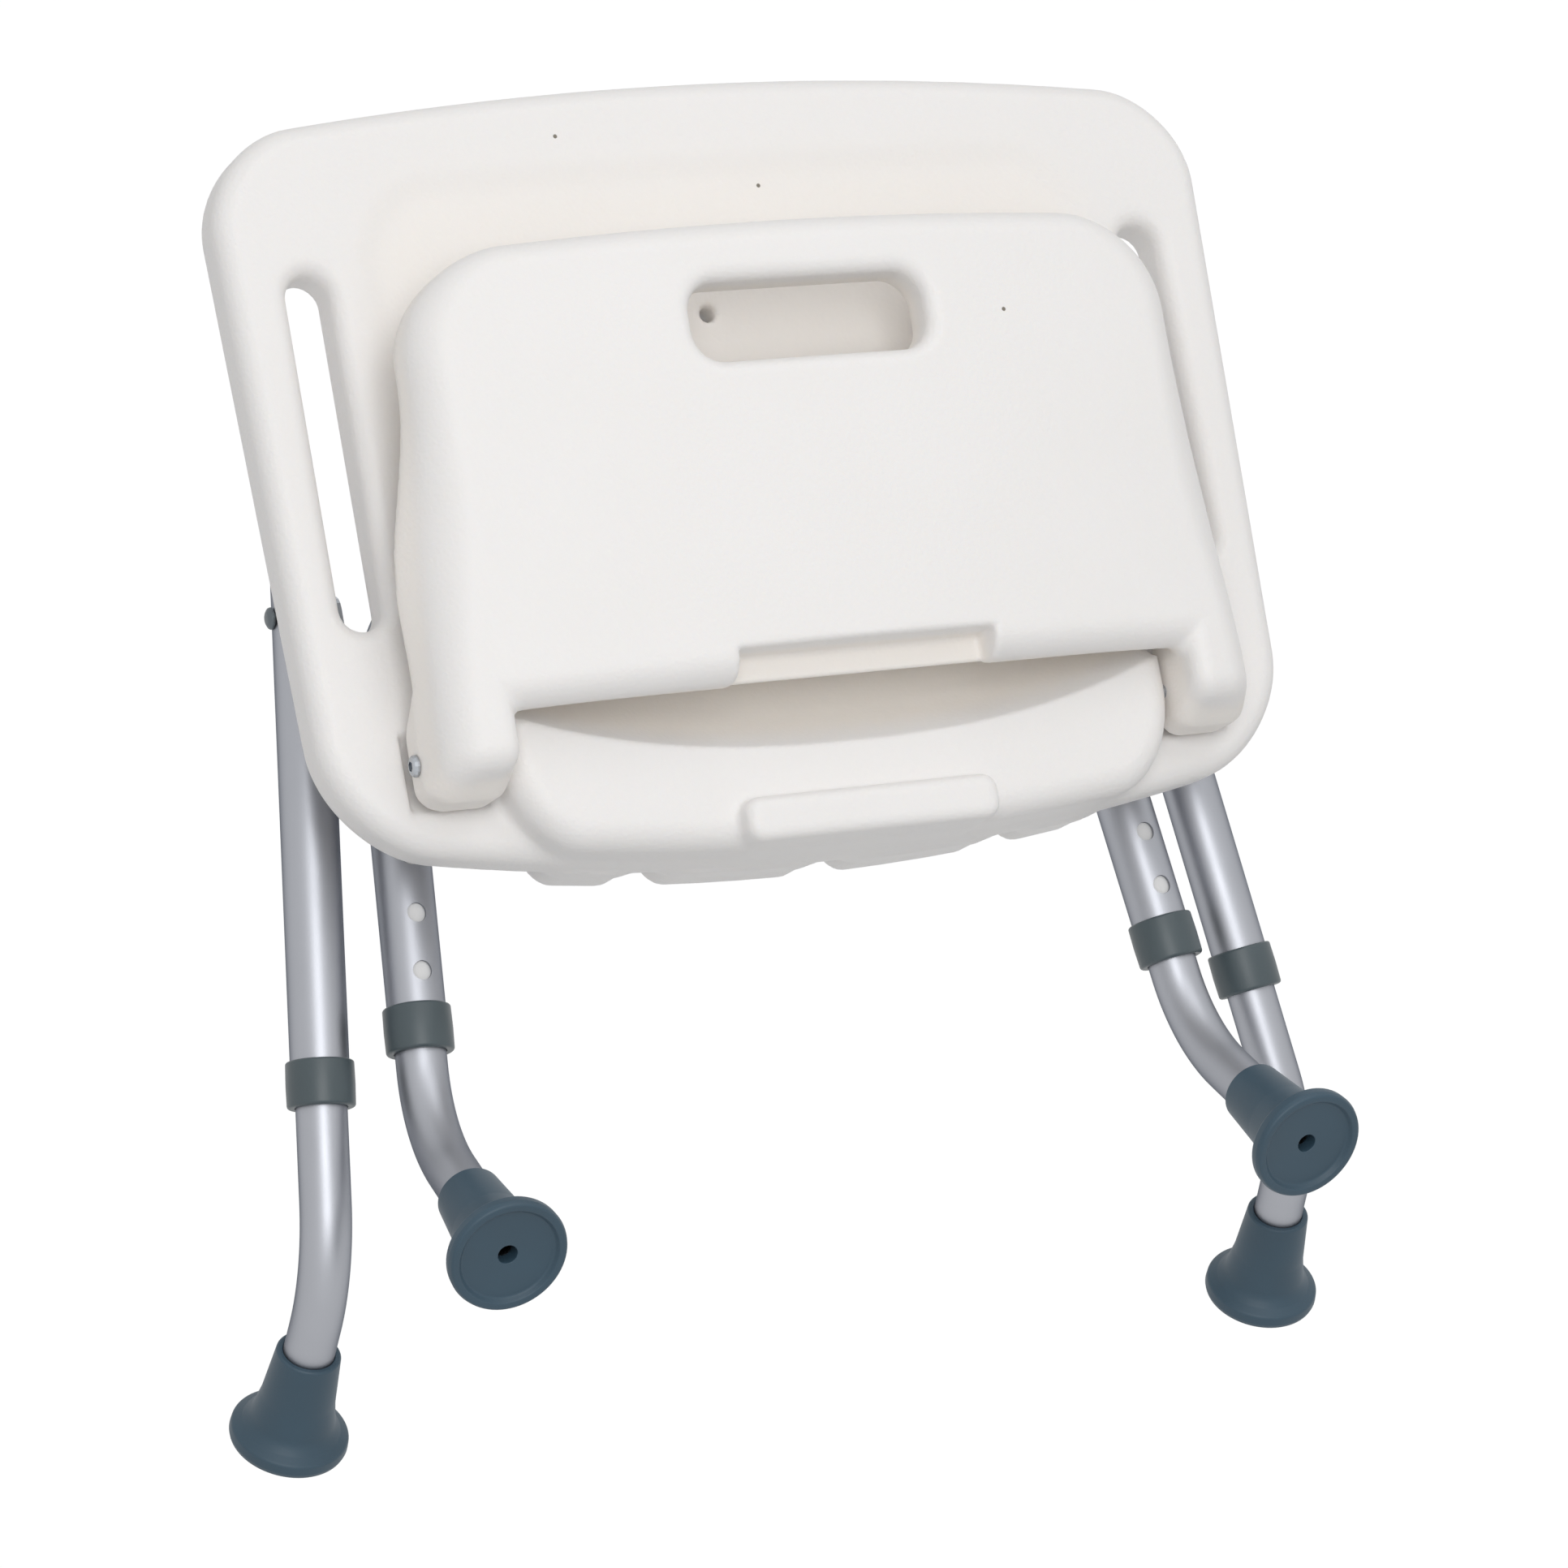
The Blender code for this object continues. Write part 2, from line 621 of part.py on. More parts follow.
def drain_cutter(frame):
    """Return the countersunk drain hole's form, from under the seat to above its dish."""
    over = 3.0 * MM
    hole = 0.5 * DRAIN_DIAMETER
    dish = 0.5 * DRAIN_DISH_DIAMETER
    sink = 4.0 * MM
    heights = [(hole, -SEAT_THICKNESS - over), (hole, -DISH_DEPTH - sink), (dish, -DISH_DEPTH), (dish, over)]
    sides = 14
    rings = []
    for radius, height in heights:
        turn = (2.0 * math.pi * k / sides for k in range(sides))
        rings.append([frame @ Vector((radius * math.cos(a), radius * math.sin(a), height)) for a in turn])
    return loft(rings)


def pivot_screw_hole(sign):
    """Return the hole in the seat block that a backrest pivot screw bites into."""
    deep = BLOCK_HALF_WIDTH - PIVOT_SCREW_BITE - 1.0 * MM
    start = Vector((sign * deep, BACK_PIVOT_Y, BACK_PIVOT_Z))
    end = Vector((sign * (BLOCK_HALF_WIDTH + 0.5 * LUG_WIDTH), BACK_PIVOT_Y, BACK_PIVOT_Z))
    return rod(start, end, 0.5 * PIVOT_SCREW_DIAMETER + CLEARANCE, 12)


def ease(t):
    """Return a smooth step from 0 to 1 as t goes from 0 to 1."""
    return 0.5 - 0.5 * math.cos(math.pi * min(1.0, max(0.0, t)))


def back_arch(y):
    """Return how far the backrest's face has dropped at the arch's half-span."""
    s = ease((y - BACK_ARCH_START_Y) / (BACK_ARCH_END_Y - BACK_ARCH_START_Y))
    return BACK_ARCH_LOWER + (BACK_ARCH_UPPER - BACK_ARCH_LOWER) * s


def back_face(x, y):
    """Return the height of the backrest's outer face."""
    middle = BACK_FACE_Z + BACK_RISE * (y - BACK_LOWER_Y)
    return middle - back_arch(y) * (x / BACK_ARCH_HALF_SPAN) ** 2


def back_inner_face(x, y):
    """Return the height of the backrest's inner face, which is flat but for its sides."""
    middle = BACK_FACE_Z - BACK_THICKNESS + BACK_RISE * (y - BACK_LOWER_Y)
    return middle - back_arch(y) * abs(x / BACK_ARCH_HALF_SPAN) ** BACK_INNER_ARCH_POWER


def back_half_width(y):
    """Return the outer face's half-width, flared towards the lugs."""
    s = ease((y - BACK_FLARE_START_Y) / (BACK_FLARE_END_Y - BACK_FLARE_START_Y))
    return BACK_LUG_HALF_WIDTH + (BACK_TOP_HALF_WIDTH - BACK_LUG_HALF_WIDTH) * s


def back_draft(y):
    """Return how much further out the sides stand at the inner face than at the outer one."""
    s = (y - BACK_SWELL_START_Y) / (BACK_SWELL_END_Y - BACK_SWELL_START_Y)
    return BACK_SIDE_DRAFT + BACK_SIDE_SWELL * math.sin(math.pi * min(1.0, max(0.0, s))) ** 2


def panel_point(point):
    """Bend a point of a flat panel, whose z is its height over the inner face, to the backrest's form."""
    inner = back_inner_face(point.x, point.y)
    outer = back_face(point.x, point.y)
    share = point.z / BACK_THICKNESS
    side = ease(1.0 - (back_half_width(point.y) - abs(point.x)) / BACK_SIDE_STRIP)
    push = back_draft(point.y) * side * (1.0 - min(1.0, max(0.0, share)))
    return Vector((point.x + math.copysign(push, point.x), point.y, inner + (outer - inner) * share))


def bend(bm, place):
    """Move every vertex of a bmesh by a function of its place, and keep the bent faces as triangles."""
    for vertex in bm.verts:
        vertex.co = place(vertex.co)
    bmesh.ops.triangulate(bm, faces=bm.faces)
    return bm


def slice_bmesh(bm, normal, places):
    """Cut a bmesh along parallel planes, so that it can bend there."""
    for place in places:
        everything = bm.verts[:] + bm.edges[:] + bm.faces[:]
        bmesh.ops.bisect_plane(bm, geom=everything, plane_co=normal * place, plane_no=normal, dist=1e-6)


def backrest_outline():
    """Return the outline of the backrest's outer face, with its lower edge between the lugs."""
    flare_steps = 6
    half = [Vector((back_half_width(BACK_LOWER_Y), BACK_LOWER_Y))]
    for i in range(1, flare_steps + 1):
        y = BACK_LOWER_Y + (BACK_FLARE_END_Y - BACK_LOWER_Y) * i / flare_steps
        half.append(Vector((back_half_width(y), y)))
    corner = Vector((BACK_TOP_HALF_WIDTH, BACK_TOP_Y))
    half += rounded_corner(half[-1], corner, Vector((0.0, BACK_TOP_Y)), BACK_TOP_CORNER, math.radians(12.0))
    half.append(Vector((0.5 * (BACK_TOP_HALF_WIDTH - BACK_TOP_CORNER), BACK_TOP_Y)))
    bowed = []
    for p in half:
        reach = max(0.0, (p.y - BACK_TOP_Y + BACK_TOP_CORNER) / BACK_TOP_CORNER)
        bow = BACK_TOP_BOW * (1.0 - (p.x / BACK_TOP_HALF_WIDTH) ** 2) if reach > 0.0 else 0.0
        bowed.append(Vector((p.x, p.y + bow * reach)))
    crown = Vector((0.0, BACK_TOP_Y + BACK_TOP_BOW))
    return bowed + [crown] + [Vector((-p.x, p.y)) for p in reversed(bowed)]


def backrest_panel():
    """Return the backrest's panel: a slab with soft edges, sliced and bent to its arch."""
    layers = soft_slab_layers(0.0, BACK_THICKNESS, BACK_INNER_RADIUS, BACK_FACE_RADIUS)
    panel = layered(backrest_outline(), layers)
    columns = 5
    inside = BACK_TOP_HALF_WIDTH - BACK_FACE_RADIUS
    slice_bmesh(panel, X_AXIS, [inside * i / columns for i in range(1 - columns, columns)])
    rows = 4
    length = BACK_TOP_Y - BACK_LOWER_Y
    slice_bmesh(panel, Y_AXIS, [BACK_LOWER_Y + length * i / rows for i in range(1, rows)])
    return bend(panel, panel_point)


def lug_point(sign, point):
    """Bend a point of a plain box to one lug, which leans with its height into the panel."""
    across = (point.x - BACK_LUG_HALF_WIDTH + LUG_WIDTH) / LUG_WIDTH
    along = (point.y - LUG_REAR_Y) / (LUG_FRONT_Y - LUG_REAR_Y)
    rear = LUG_REAR_LEAN * max(0.0, point.z - LUG_LEAN_START_Z)
    front = min(max(0.0, point.z - LUG_FRONT_SLOPE_Z), LUG_BLEND_Y - LUG_FRONT_Y)
    y = point.y + rear * (1.0 - along) + front * along
    top = back_face(point.x, y) - LUG_SINK
    z = LUG_FLOOR_Z + (point.z - LUG_FLOOR_Z) * (top - LUG_FLOOR_Z) / (lug_top() - LUG_FLOOR_Z)
    share = min(1.0, max(0.0, (top - z) / BACK_THICKNESS))
    wider = back_half_width(y) - LUG_SINK - BACK_LUG_HALF_WIDTH + back_draft(y) * share
    return Vector((sign * (point.x + across * wider), y, z))


def lug_top():
    """Return the height of a lug's top over the pivot."""
    return back_face(BACK_LUG_HALF_WIDTH - 0.5 * LUG_WIDTH, BACK_PIVOT_Y) - LUG_SINK


def lug_form(sign):
    """Return one lug: a cheek that wraps round the pivot and runs up into the panel."""
    middle = BACK_LUG_HALF_WIDTH - 0.5 * LUG_WIDTH
    outline = box_outline(0.5 * LUG_WIDTH, LUG_REAR_Y, LUG_FRONT_Y, LUG_CORNER)
    outline = [Vector((p.x + middle, p.y)) for p in split_long_edges(outline, 0.5 * LUG_WIDTH)]
    layers = soft_slab_layers(LUG_FLOOR_Z, lug_top(), LUG_BOTTOM_RADIUS, LUG_TOP_RADIUS)
    half = len(layers) // 2
    kink = lug_top() - BACK_THICKNESS
    layers[half:half] = [(0.0, kink), (0.0, 0.5 * (kink + layers[half][1]))]
    return bend(layered(outline, layers), lambda point: lug_point(sign, point))


def build_backrest(plastic, assembly):
    """Build the backrest shell, folded down over the seat, with its origin on the pivot."""
    pivot = Vector((0.0, BACK_PIVOT_Y, BACK_PIVOT_Z))
    back = link_mesh("backrest_shell", backrest_panel(), plastic, pivot, assembly)
    for side, sign in SIDES:
        fuse(back, f"lug_form_{side}", lug_form(sign))
    slot = slot_outline(0.0, HAND_SLOT_Y, HAND_SLOT_LENGTH, HAND_SLOT_HEIGHT)
    slot_form = layered(slot, flared_cut_layers(0.0, BACK_THICKNESS, HAND_SLOT_FILLET))
    cut(back, "hand_slot_form", bend(slot_form, panel_point))
    half = STOP_HALF_WIDTH + STOP_NOTCH_SIDE_GAP
    outline = box_outline(half, BACK_LOWER_Y - 10.0 * MM, STOP_NOTCH_END_Y, STOP_NOTCH_CORNER)
    floor = BACK_THICKNESS - STOP_NOTCH_DEPTH
    layers = [(1.5 * MM, floor), (0.0, floor + 1.5 * MM), (-1.0 * MM, BACK_THICKNESS + 4.0 * MM)]
    notch = layered(outline, layers)
    cut(back, "stop_notch_form", bend(notch, panel_point))
    for side, sign in SIDES:
        inner = Vector((sign * (BACK_LUG_HALF_WIDTH - LUG_WIDTH - 9.0 * MM), BACK_PIVOT_Y, BACK_PIVOT_Z))
        outer = Vector((sign * (pivot_head_x() + 9.0 * MM), BACK_PIVOT_Y, BACK_PIVOT_Z))
        hole = rod(inner, outer, 0.5 * PIVOT_SCREW_DIAMETER + CLEARANCE, 12)
        cut(back, f"lug_hole_form_{side}", hole)
    return back


def pivot_head_x():
    """Return how far out the pivot screws' heads bear on the lugs."""
    return BACK_LUG_HALF_WIDTH + BACK_SIDE_DRAFT


def socket_screw(name, head_face, direction, shank, sizes, steel, parent):
    """Build a button-head screw whose head sits on a face and whose shank runs along a direction."""
    diameter, head_diameter, head_height = sizes
    frame = axis_frame(head_face, -direction)
    head = 0.5 * head_diameter
    profile = [
        (0.0, -shank),
        (0.5 * diameter - 0.4 * MM, -shank),
        (0.5 * diameter, -shank + 0.6 * MM),
        (0.5 * diameter, 0.0),
        (head, 0.0),
        (head, 0.35 * head_height),
        (0.86 * head, 0.8 * head_height),
        (0.6 * head, head_height),
        (0.0, head_height),
    ]
    screw = link_mesh(name, turned(profile, 14, frame), steel, head_face, parent)
    depth = min(HEX_SOCKET_DEPTH, 0.7 * head_height)
    bm = prism(hexagon(HEX_SOCKET_WIDTH), head_height - depth, head_height + 1.0 * MM, "Z")
    bmesh.ops.transform(bm, matrix=frame, verts=bm.verts)
    cut(screw, f"{name}_socket_form", bm)
    return screw


def pan_screw(name, head_face, direction, shank, sizes, steel, parent):
    """Build a plain pan-head screw whose head sits on a face."""
    diameter, head_diameter, head_height = sizes
    frame = axis_frame(head_face, -direction)
    head = 0.5 * head_diameter
    profile = [
        (0.0, -shank),
        (0.5 * diameter, -shank + 1.0 * MM),
        (0.5 * diameter, 0.0),
        (head, 0.0),
        (head, 0.4 * head_height),
        (0.7 * head, head_height),
        (0.0, head_height),
    ]
    return link_mesh(name, turned(profile, 8, frame), steel, head_face, parent)


def hexagon(width):
    """Return a hexagon by its width across flats."""
    radius = width / math.sqrt(3.0)
    return [Vector((radius * math.cos(math.pi * k / 3.0), radius * math.sin(math.pi * k / 3.0))) for k in range(6)]


def turned(profile, sides, frame):
    """Turn an open (radius, height) profile that starts and ends on the axis."""
    bm = bmesh.new()
    rows = []
    for radius, height in profile:
        if radius < 1e-9:
            rows.append([bm.verts.new(frame @ Vector((0.0, 0.0, height)))])
            continue
        turn = (2.0 * math.pi * k / sides for k in range(sides))
        rows.append(
            [bm.verts.new(frame @ Vector((radius * math.cos(a), radius * math.sin(a), height))) for a in turn]
        )
    for lower, upper in zip(rows, rows[1:]):
        for i in range(sides):
            j = (i + 1) % sides
            if len(lower) == 1:
                bm.faces.new((lower[0], upper[j], upper[i]))
            elif len(upper) == 1:
                bm.faces.new((lower[i], lower[j], upper[0]))
            else:
                bm.faces.new((lower[i], lower[j], upper[j], upper[i]))
    return bm


class LegLine:
    """The centre line of one leg's lower end, from its collar to its sole."""

    def __init__(self, collar, top, knee, shin, foot_angle, foot_splay, foot_up, hole_sign, sign, holes_out):
        self.collar = Vector((sign * collar.x, collar.y, collar.z))
        self.top = Vector((sign * top.x, top.y, top.z))
        self.down = (self.collar - self.top).normalized()
        self.bend = self.collar + self.down * knee
        foot = Vector((sign * foot_splay, -math.cos(foot_angle), foot_up * math.sin(foot_angle)))
        self.foot = foot.normalized()
        self.sole = self.bend + self.foot * shin
        side = Z_AXIS * hole_sign
        self.hole = (side - self.down * side.dot(self.down)).normalized()
        self.holes_out = holes_out
        self.button_height = FIRST_HOLE + (HOLE_COUNT - 1 - holes_out) * HOLE_PITCH

    def up_tube(self, distance):
        """Return the point at a distance above the collar's centre."""
        return self.collar - self.down * distance


def leg_lines():
    """Return the centre lines of the four legs by their names."""
    lines = {}
    front_corner = Vector((FRONT_CORNER_X, FRONT_AXIS_Y, FRONT_AXIS_Z))
    for side, sign in SIDES:
        lines[f"front_{side}"] = LegLine(
            FRONT_COLLAR, front_corner, FRONT_KNEE, FRONT_SHIN,
            FRONT_FOOT_ANGLE, FRONT_FOOT_SPLAY, 1.0, 1.0, sign, FRONT_HOLES_OUT,
        )
        lines[f"rear_{side}"] = LegLine(
            REAR_COLLAR, REAR_PIVOT, REAR_KNEE, REAR_SHIN,
            REAR_FOOT_ANGLE, REAR_FOOT_SPLAY, -1.0, -1.0, sign, REAR_HOLES_OUT,
        )
    return lines


def cut_adjusting_holes(tube, line):
    """Cut the row of adjusting holes into one wall of an upper tube."""
    for k in range(HOLE_COUNT):
        center = line.up_tube(FIRST_HOLE + k * HOLE_PITCH)
        start = center + line.hole * (0.5 * UPPER_TUBE_DIAMETER - 4.0 * MM)
        end = center + line.hole * (0.5 * UPPER_TUBE_DIAMETER + 4.0 * MM)
        side = "left" if line.collar.x < 0.0 else "right"
        cut(tube, f"{tube.name}_hole_form_{side}_{k}", rod(start, end, 0.5 * HOLE_DIAMETER, 12))


def build_front_frame(lines, aluminium, assembly):
    """Build the bent tube that joins the two front legs, with its origin on the clamp axis."""
    left, right = lines["front_left"], lines["front_right"]
    end = COLLAR_LENGTH / 2 - COLLAR_LIP - CLEARANCE
    step = math.radians(18.0)
    path = [left.collar + left.down * end]
    path += rounded_corner(path[0], left.top, right.top, FRONT_CORNER_RADIUS, step)
    last = right.collar + right.down * end
    path += rounded_corner(left.top, right.top, last, FRONT_CORNER_RADIUS, step)
    path.append(last)
    outer = 0.5 * UPPER_TUBE_DIAMETER
    bm = pipe(path, outer, outer - UPPER_TUBE_WALL, up=left.hole)
    axis = Vector((0.0, FRONT_AXIS_Y, FRONT_AXIS_Z))
    tube = link_mesh("front_frame_tube", bm, aluminium, axis, assembly)
    for line in (left, right):
        cut_adjusting_holes(tube, line)
    return tube


def build_rear_tube(side, line, aluminium, assembly):
    """Build one rear upper tube, with its origin on its pivot bolt."""
    end = COLLAR_LENGTH / 2 - COLLAR_LIP - CLEARANCE
    start = line.top - line.down * REAR_TUBE_TAIL
    outer = 0.5 * UPPER_TUBE_DIAMETER
    bm = pipe([start, line.collar + line.down * end], outer, outer - UPPER_TUBE_WALL, up=line.hole)
    tube = link_mesh(f"rear_upper_tube_{side}", bm, aluminium, line.top, assembly)
    cut_adjusting_holes(tube, line)
    reach = X_AXIS * (outer + 6.0 * MM)
    rivet_hole = rod(line.top - reach, line.top + reach, 0.5 * RIVET_DIAMETER + CLEARANCE, 12)
    cut(tube, f"{tube.name}_rivet_hole_form", rivet_hole)
    return tube


def build_tube_plug(side, line, plastic, assembly):
    """Build the plug that closes a rear upper tube's top end."""
    outer = 0.5 * UPPER_TUBE_DIAMETER
    bore = outer - UPPER_TUBE_WALL - CLEARANCE
    mouth = line.top - line.down * (REAR_TUBE_TAIL + CLEARANCE)
    frame = axis_frame(mouth, -line.down)
    depth = REAR_TUBE_TAIL - 0.5 * RIVET_DIAMETER - 1.5 * MM
    profile = [(0.0, -depth), (bore - 0.6 * MM, -depth), (bore, -depth + 1.0 * MM), (bore, 0.0)]
    profile += [(outer, 0.0), (outer, 1.2 * MM), (outer - 1.5 * MM, 2.6 * MM), (0.0, 3.0 * MM)]
    return link_mesh(f"rear_tube_plug_{side}", turned(profile, TUBE_SIDES, frame), plastic, mouth, assembly)


def build_collar(name, line, plastic, assembly):
    """Build the moulded collar that ends an upper tube and guides the lower one."""
    frame = axis_frame(line.collar, line.down, line.hole)
    half = 0.5 * COLLAR_LENGTH
    upper_bore = 0.5 * UPPER_TUBE_DIAMETER + CLEARANCE
    lower_bore = 0.5 * LOWER_TUBE_DIAMETER + CLEARANCE
    outer = 0.5 * COLLAR_DIAMETER
    profile = [
        (upper_bore, -half),
        (outer - 1.0 * MM, -half),
        (outer, -half + 1.0 * MM),
        (outer, half - 2.0 * MM),
        (outer - 1.2 * MM, half),
        (lower_bore + 0.6 * MM, half),
        (lower_bore, half - 0.6 * MM),
        (lower_bore, half - COLLAR_LIP),
        (upper_bore, half - COLLAR_LIP),
    ]
    return link_mesh(f"{name}_collar", revolve(profile, TUBE_SIDES + 2, frame), plastic, line.collar, assembly)


def build_lower_tube(name, line, aluminium, assembly):
    """Build one bent lower tube, from inside the upper tube to the foot's washer."""
    top = line.up_tube(line.button_height + TUBE_END_TAIL)
    end = line.sole - line.foot * (FOOT_FLOOR + WASHER_THICKNESS + 2.0 * CLEARANCE)
    path = [top] + rounded_corner(top, line.bend, end, LOWER_BEND_RADIUS, math.radians(12.5)) + [end]
    outer = 0.5 * LOWER_TUBE_DIAMETER
    bm = pipe(path, outer, outer - LOWER_TUBE_WALL, up=line.hole)
    origin = line.up_tube(line.button_height)
    tube = link_mesh(f"{name}_lower_tube", bm, aluminium, origin, assembly)
    start = origin + line.hole * (outer - 4.0 * MM)
    stop = origin + line.hole * (outer + 4.0 * MM)
    cut(tube, f"{tube.name}_button_hole_form", rod(start, stop, 0.5 * BUTTON_DIAMETER + CLEARANCE, 12))
    return tube


def build_snap_button(name, line, steel, assembly):
    """Build a snap button: a domed pin on a folded leaf spring inside the lower tube."""
    center = line.up_tube(line.button_height)
    frame = axis_frame(center, line.hole, -line.down)
    inside = 0.5 * LOWER_TUBE_DIAMETER - LOWER_TUBE_WALL - CLEARANCE
    half_width = 0.5 * SPRING_WIDTH
    seat = math.sqrt(inside**2 - half_width**2)
    radius = 0.5 * BUTTON_DIAMETER
    tip = 0.5 * UPPER_TUBE_DIAMETER + BUTTON_STAND
    base = seat - SPRING_GAUGE
    bm = spring_leaf(leaf_outline(seat, radius), half_width)
    bmesh.ops.transform(bm, matrix=frame, verts=bm.verts)
    button = link_mesh(f"{name}_snap_button", bm, steel, center, assembly)
    profile = [
        (0.0, base + 0.2 * MM),
        (radius, base + 0.2 * MM),
        (radius, tip - 2.0 * MM),
        (0.75 * radius, tip - 0.6 * MM),
        (0.0, tip),
    ]
    fuse(button, f"{button.name}_pin_form", turned(profile, 12, frame))
    return button


def leaf_outline(seat, radius):
    """Return the leaf spring's side outline, folded like a hairpin."""
    gauge = SPRING_GAUGE
    fold = radius + 2.0 * MM - SPRING_LENGTH
    return [
        Vector((radius + 2.0 * MM, seat)),
        Vector((fold, seat - 2.0 * MM)),
        Vector((fold - 3.0 * MM, 0.0)),
        Vector((fold, -seat + 2.0 * MM)),
        Vector((radius + 2.0 * MM, -seat)),
        Vector((radius + 2.0 * MM, -seat + gauge)),
        Vector((fold + gauge, -seat + 2.0 * MM + gauge)),
        Vector((fold - 3.0 * MM + gauge, 0.0)),
        Vector((fold + gauge, seat - 2.0 * MM - gauge)),
        Vector((radius + 2.0 * MM, seat - gauge)),
    ]


def spring_leaf(outline, half_width):
    """Return a strip of the spring's width with the given side outline."""
    return loft([[Vector((p.x, y, p.y)) for p in outline] for y in (-half_width, half_width)])


def build_foot(name, line, rubber, steel, assembly):
    """Build one rubber foot with its hollow sole, and the washer between it and the tube."""
    frame = axis_frame(line.sole, line.foot, line.hole)
    bore = 0.5 * LOWER_TUBE_DIAMETER + CLEARANCE
    hole = 0.5 * FOOT_HOLE_DIAMETER
    sole = FOOT_SOLE_RADIUS
    profile = [
        (hole, -3.0 * MM),
        (sole - 6.5 * MM, -3.0 * MM),
        (sole - 4.5 * MM, 0.0),
        (sole - 1.5 * MM, 0.0),
        (sole, -2.0 * MM),
        (sole, -FOOT_FLANGE + 2.0 * MM),
        (sole - 2.0 * MM, -FOOT_FLANGE),
        (0.72 * sole, -FOOT_FLANGE - 4.0 * MM),
        (FOOT_MOUTH_RADIUS + 3.2 * MM, -0.42 * FOOT_HEIGHT),
        (FOOT_MOUTH_RADIUS, -FOOT_HEIGHT + 1.0 * MM),
        (FOOT_MOUTH_RADIUS - 1.0 * MM, -FOOT_HEIGHT),
        (bore, -FOOT_HEIGHT),
        (bore, -FOOT_FLOOR),
        (hole, -FOOT_FLOOR),
    ]
    foot = link_mesh(f"{name}_foot", revolve(profile, FOOT_SIDES, frame), rubber, line.sole, assembly)
    outer = bore - 2.0 * CLEARANCE
    low = -FOOT_FLOOR - CLEARANCE
    ring = [(hole, low), (outer, low), (outer, low - WASHER_THICKNESS), (hole, low - WASHER_THICKNESS)]
    link_mesh(f"{name}_foot_washer", revolve(ring, 12, frame), steel, line.sole, assembly)
    return foot


def clamp_halves():
    """Return the side outlines of a clamp block and its cap, which close round the crossbar."""
    bore = 0.5 * UPPER_TUBE_DIAMETER + CLEARANCE
    top = -SEAT_THICKNESS - CLEARANCE
    split = FRONT_AXIS_Z
    base = 0.5 * CLAMP_BASE_LENGTH
    half = 0.5 * CLAMP_LENGTH
    low = split - bore - CLAMP_WALL
    gap = 0.5 * CLEARANCE
    groove_top = arc((FRONT_AXIS_Y, split + gap), bore, math.pi, 0.0, 8)
    groove_bottom = arc((FRONT_AXIS_Y, split - gap), bore, 0.0, -math.pi, 8)
    block = [
        Vector((FRONT_AXIS_Y - half, split + gap)),
        *groove_top,
        Vector((FRONT_AXIS_Y + half, split + gap)),
        Vector((FRONT_AXIS_Y + half, split + 12.0 * MM)),
        Vector((FRONT_AXIS_Y + base, top - 6.0 * MM)),
        Vector((FRONT_AXIS_Y + base, top)),
        Vector((FRONT_AXIS_Y - base, top)),
        Vector((FRONT_AXIS_Y - base, top - 6.0 * MM)),
        Vector((FRONT_AXIS_Y - half, split + 12.0 * MM)),
    ]
    cap = [
        Vector((FRONT_AXIS_Y + half, split - gap)),
        *groove_bottom,
        Vector((FRONT_AXIS_Y - half, split - gap)),
        Vector((FRONT_AXIS_Y - half, low + 6.0 * MM)),
        Vector((FRONT_AXIS_Y - half + 8.0 * MM, low)),
        Vector((FRONT_AXIS_Y + half - 8.0 * MM, low)),
        Vector((FRONT_AXIS_Y + half, low + 6.0 * MM)),
    ]
    return block, cap, low


def build_clamps(plastic, steel, assembly):
    """Build the two clamp blocks under the seat, their caps and the screws through the caps."""
    block_side, cap_side, low = clamp_halves()
    reach = 0.5 * CLAMP_LENGTH - 5.5 * MM
    screw_hole = 0.5 * CLAMP_SCREW_DIAMETER + CLEARANCE
    for side, sign in SIDES:
        start = sign * CLAMP_X - 0.5 * CLAMP_WIDTH
        end = start + CLAMP_WIDTH
        block = link_mesh(f"front_clamp_block_{side}", prism(block_side, start, end), plastic, parent=assembly)
        cap = link_mesh(f"front_clamp_cap_{side}", prism(cap_side, start, end), plastic, parent=assembly)
        for place, shift in (("rear", -reach), ("front", reach)):
            face = Vector((sign * CLAMP_X, FRONT_AXIS_Y + shift, low + 6.0 * MM))
            top = face + Z_AXIS * (CLAMP_SCREW_LENGTH + 1.0 * MM)
            below = face - Z_AXIS * 12.0 * MM
            cut(block, f"clamp_block_hole_{side}_{place}", rod(below, top, screw_hole, 10))
            cut(cap, f"clamp_cap_hole_{side}_{place}", rod(below, top, screw_hole, 10))
            recess = rod(below, face, 0.5 * CLAMP_SCREW_HEAD + 0.5 * MM, 12)
            cut(cap, f"clamp_cap_recess_{side}_{place}", recess)
            sizes = (CLAMP_SCREW_DIAMETER, CLAMP_SCREW_HEAD, 3.0 * MM)
            seat = face - Z_AXIS * CLEARANCE
            pan_screw(f"clamp_screw_{side}_{place}", seat, Z_AXIS, CLAMP_SCREW_LENGTH, sizes, steel, assembly)


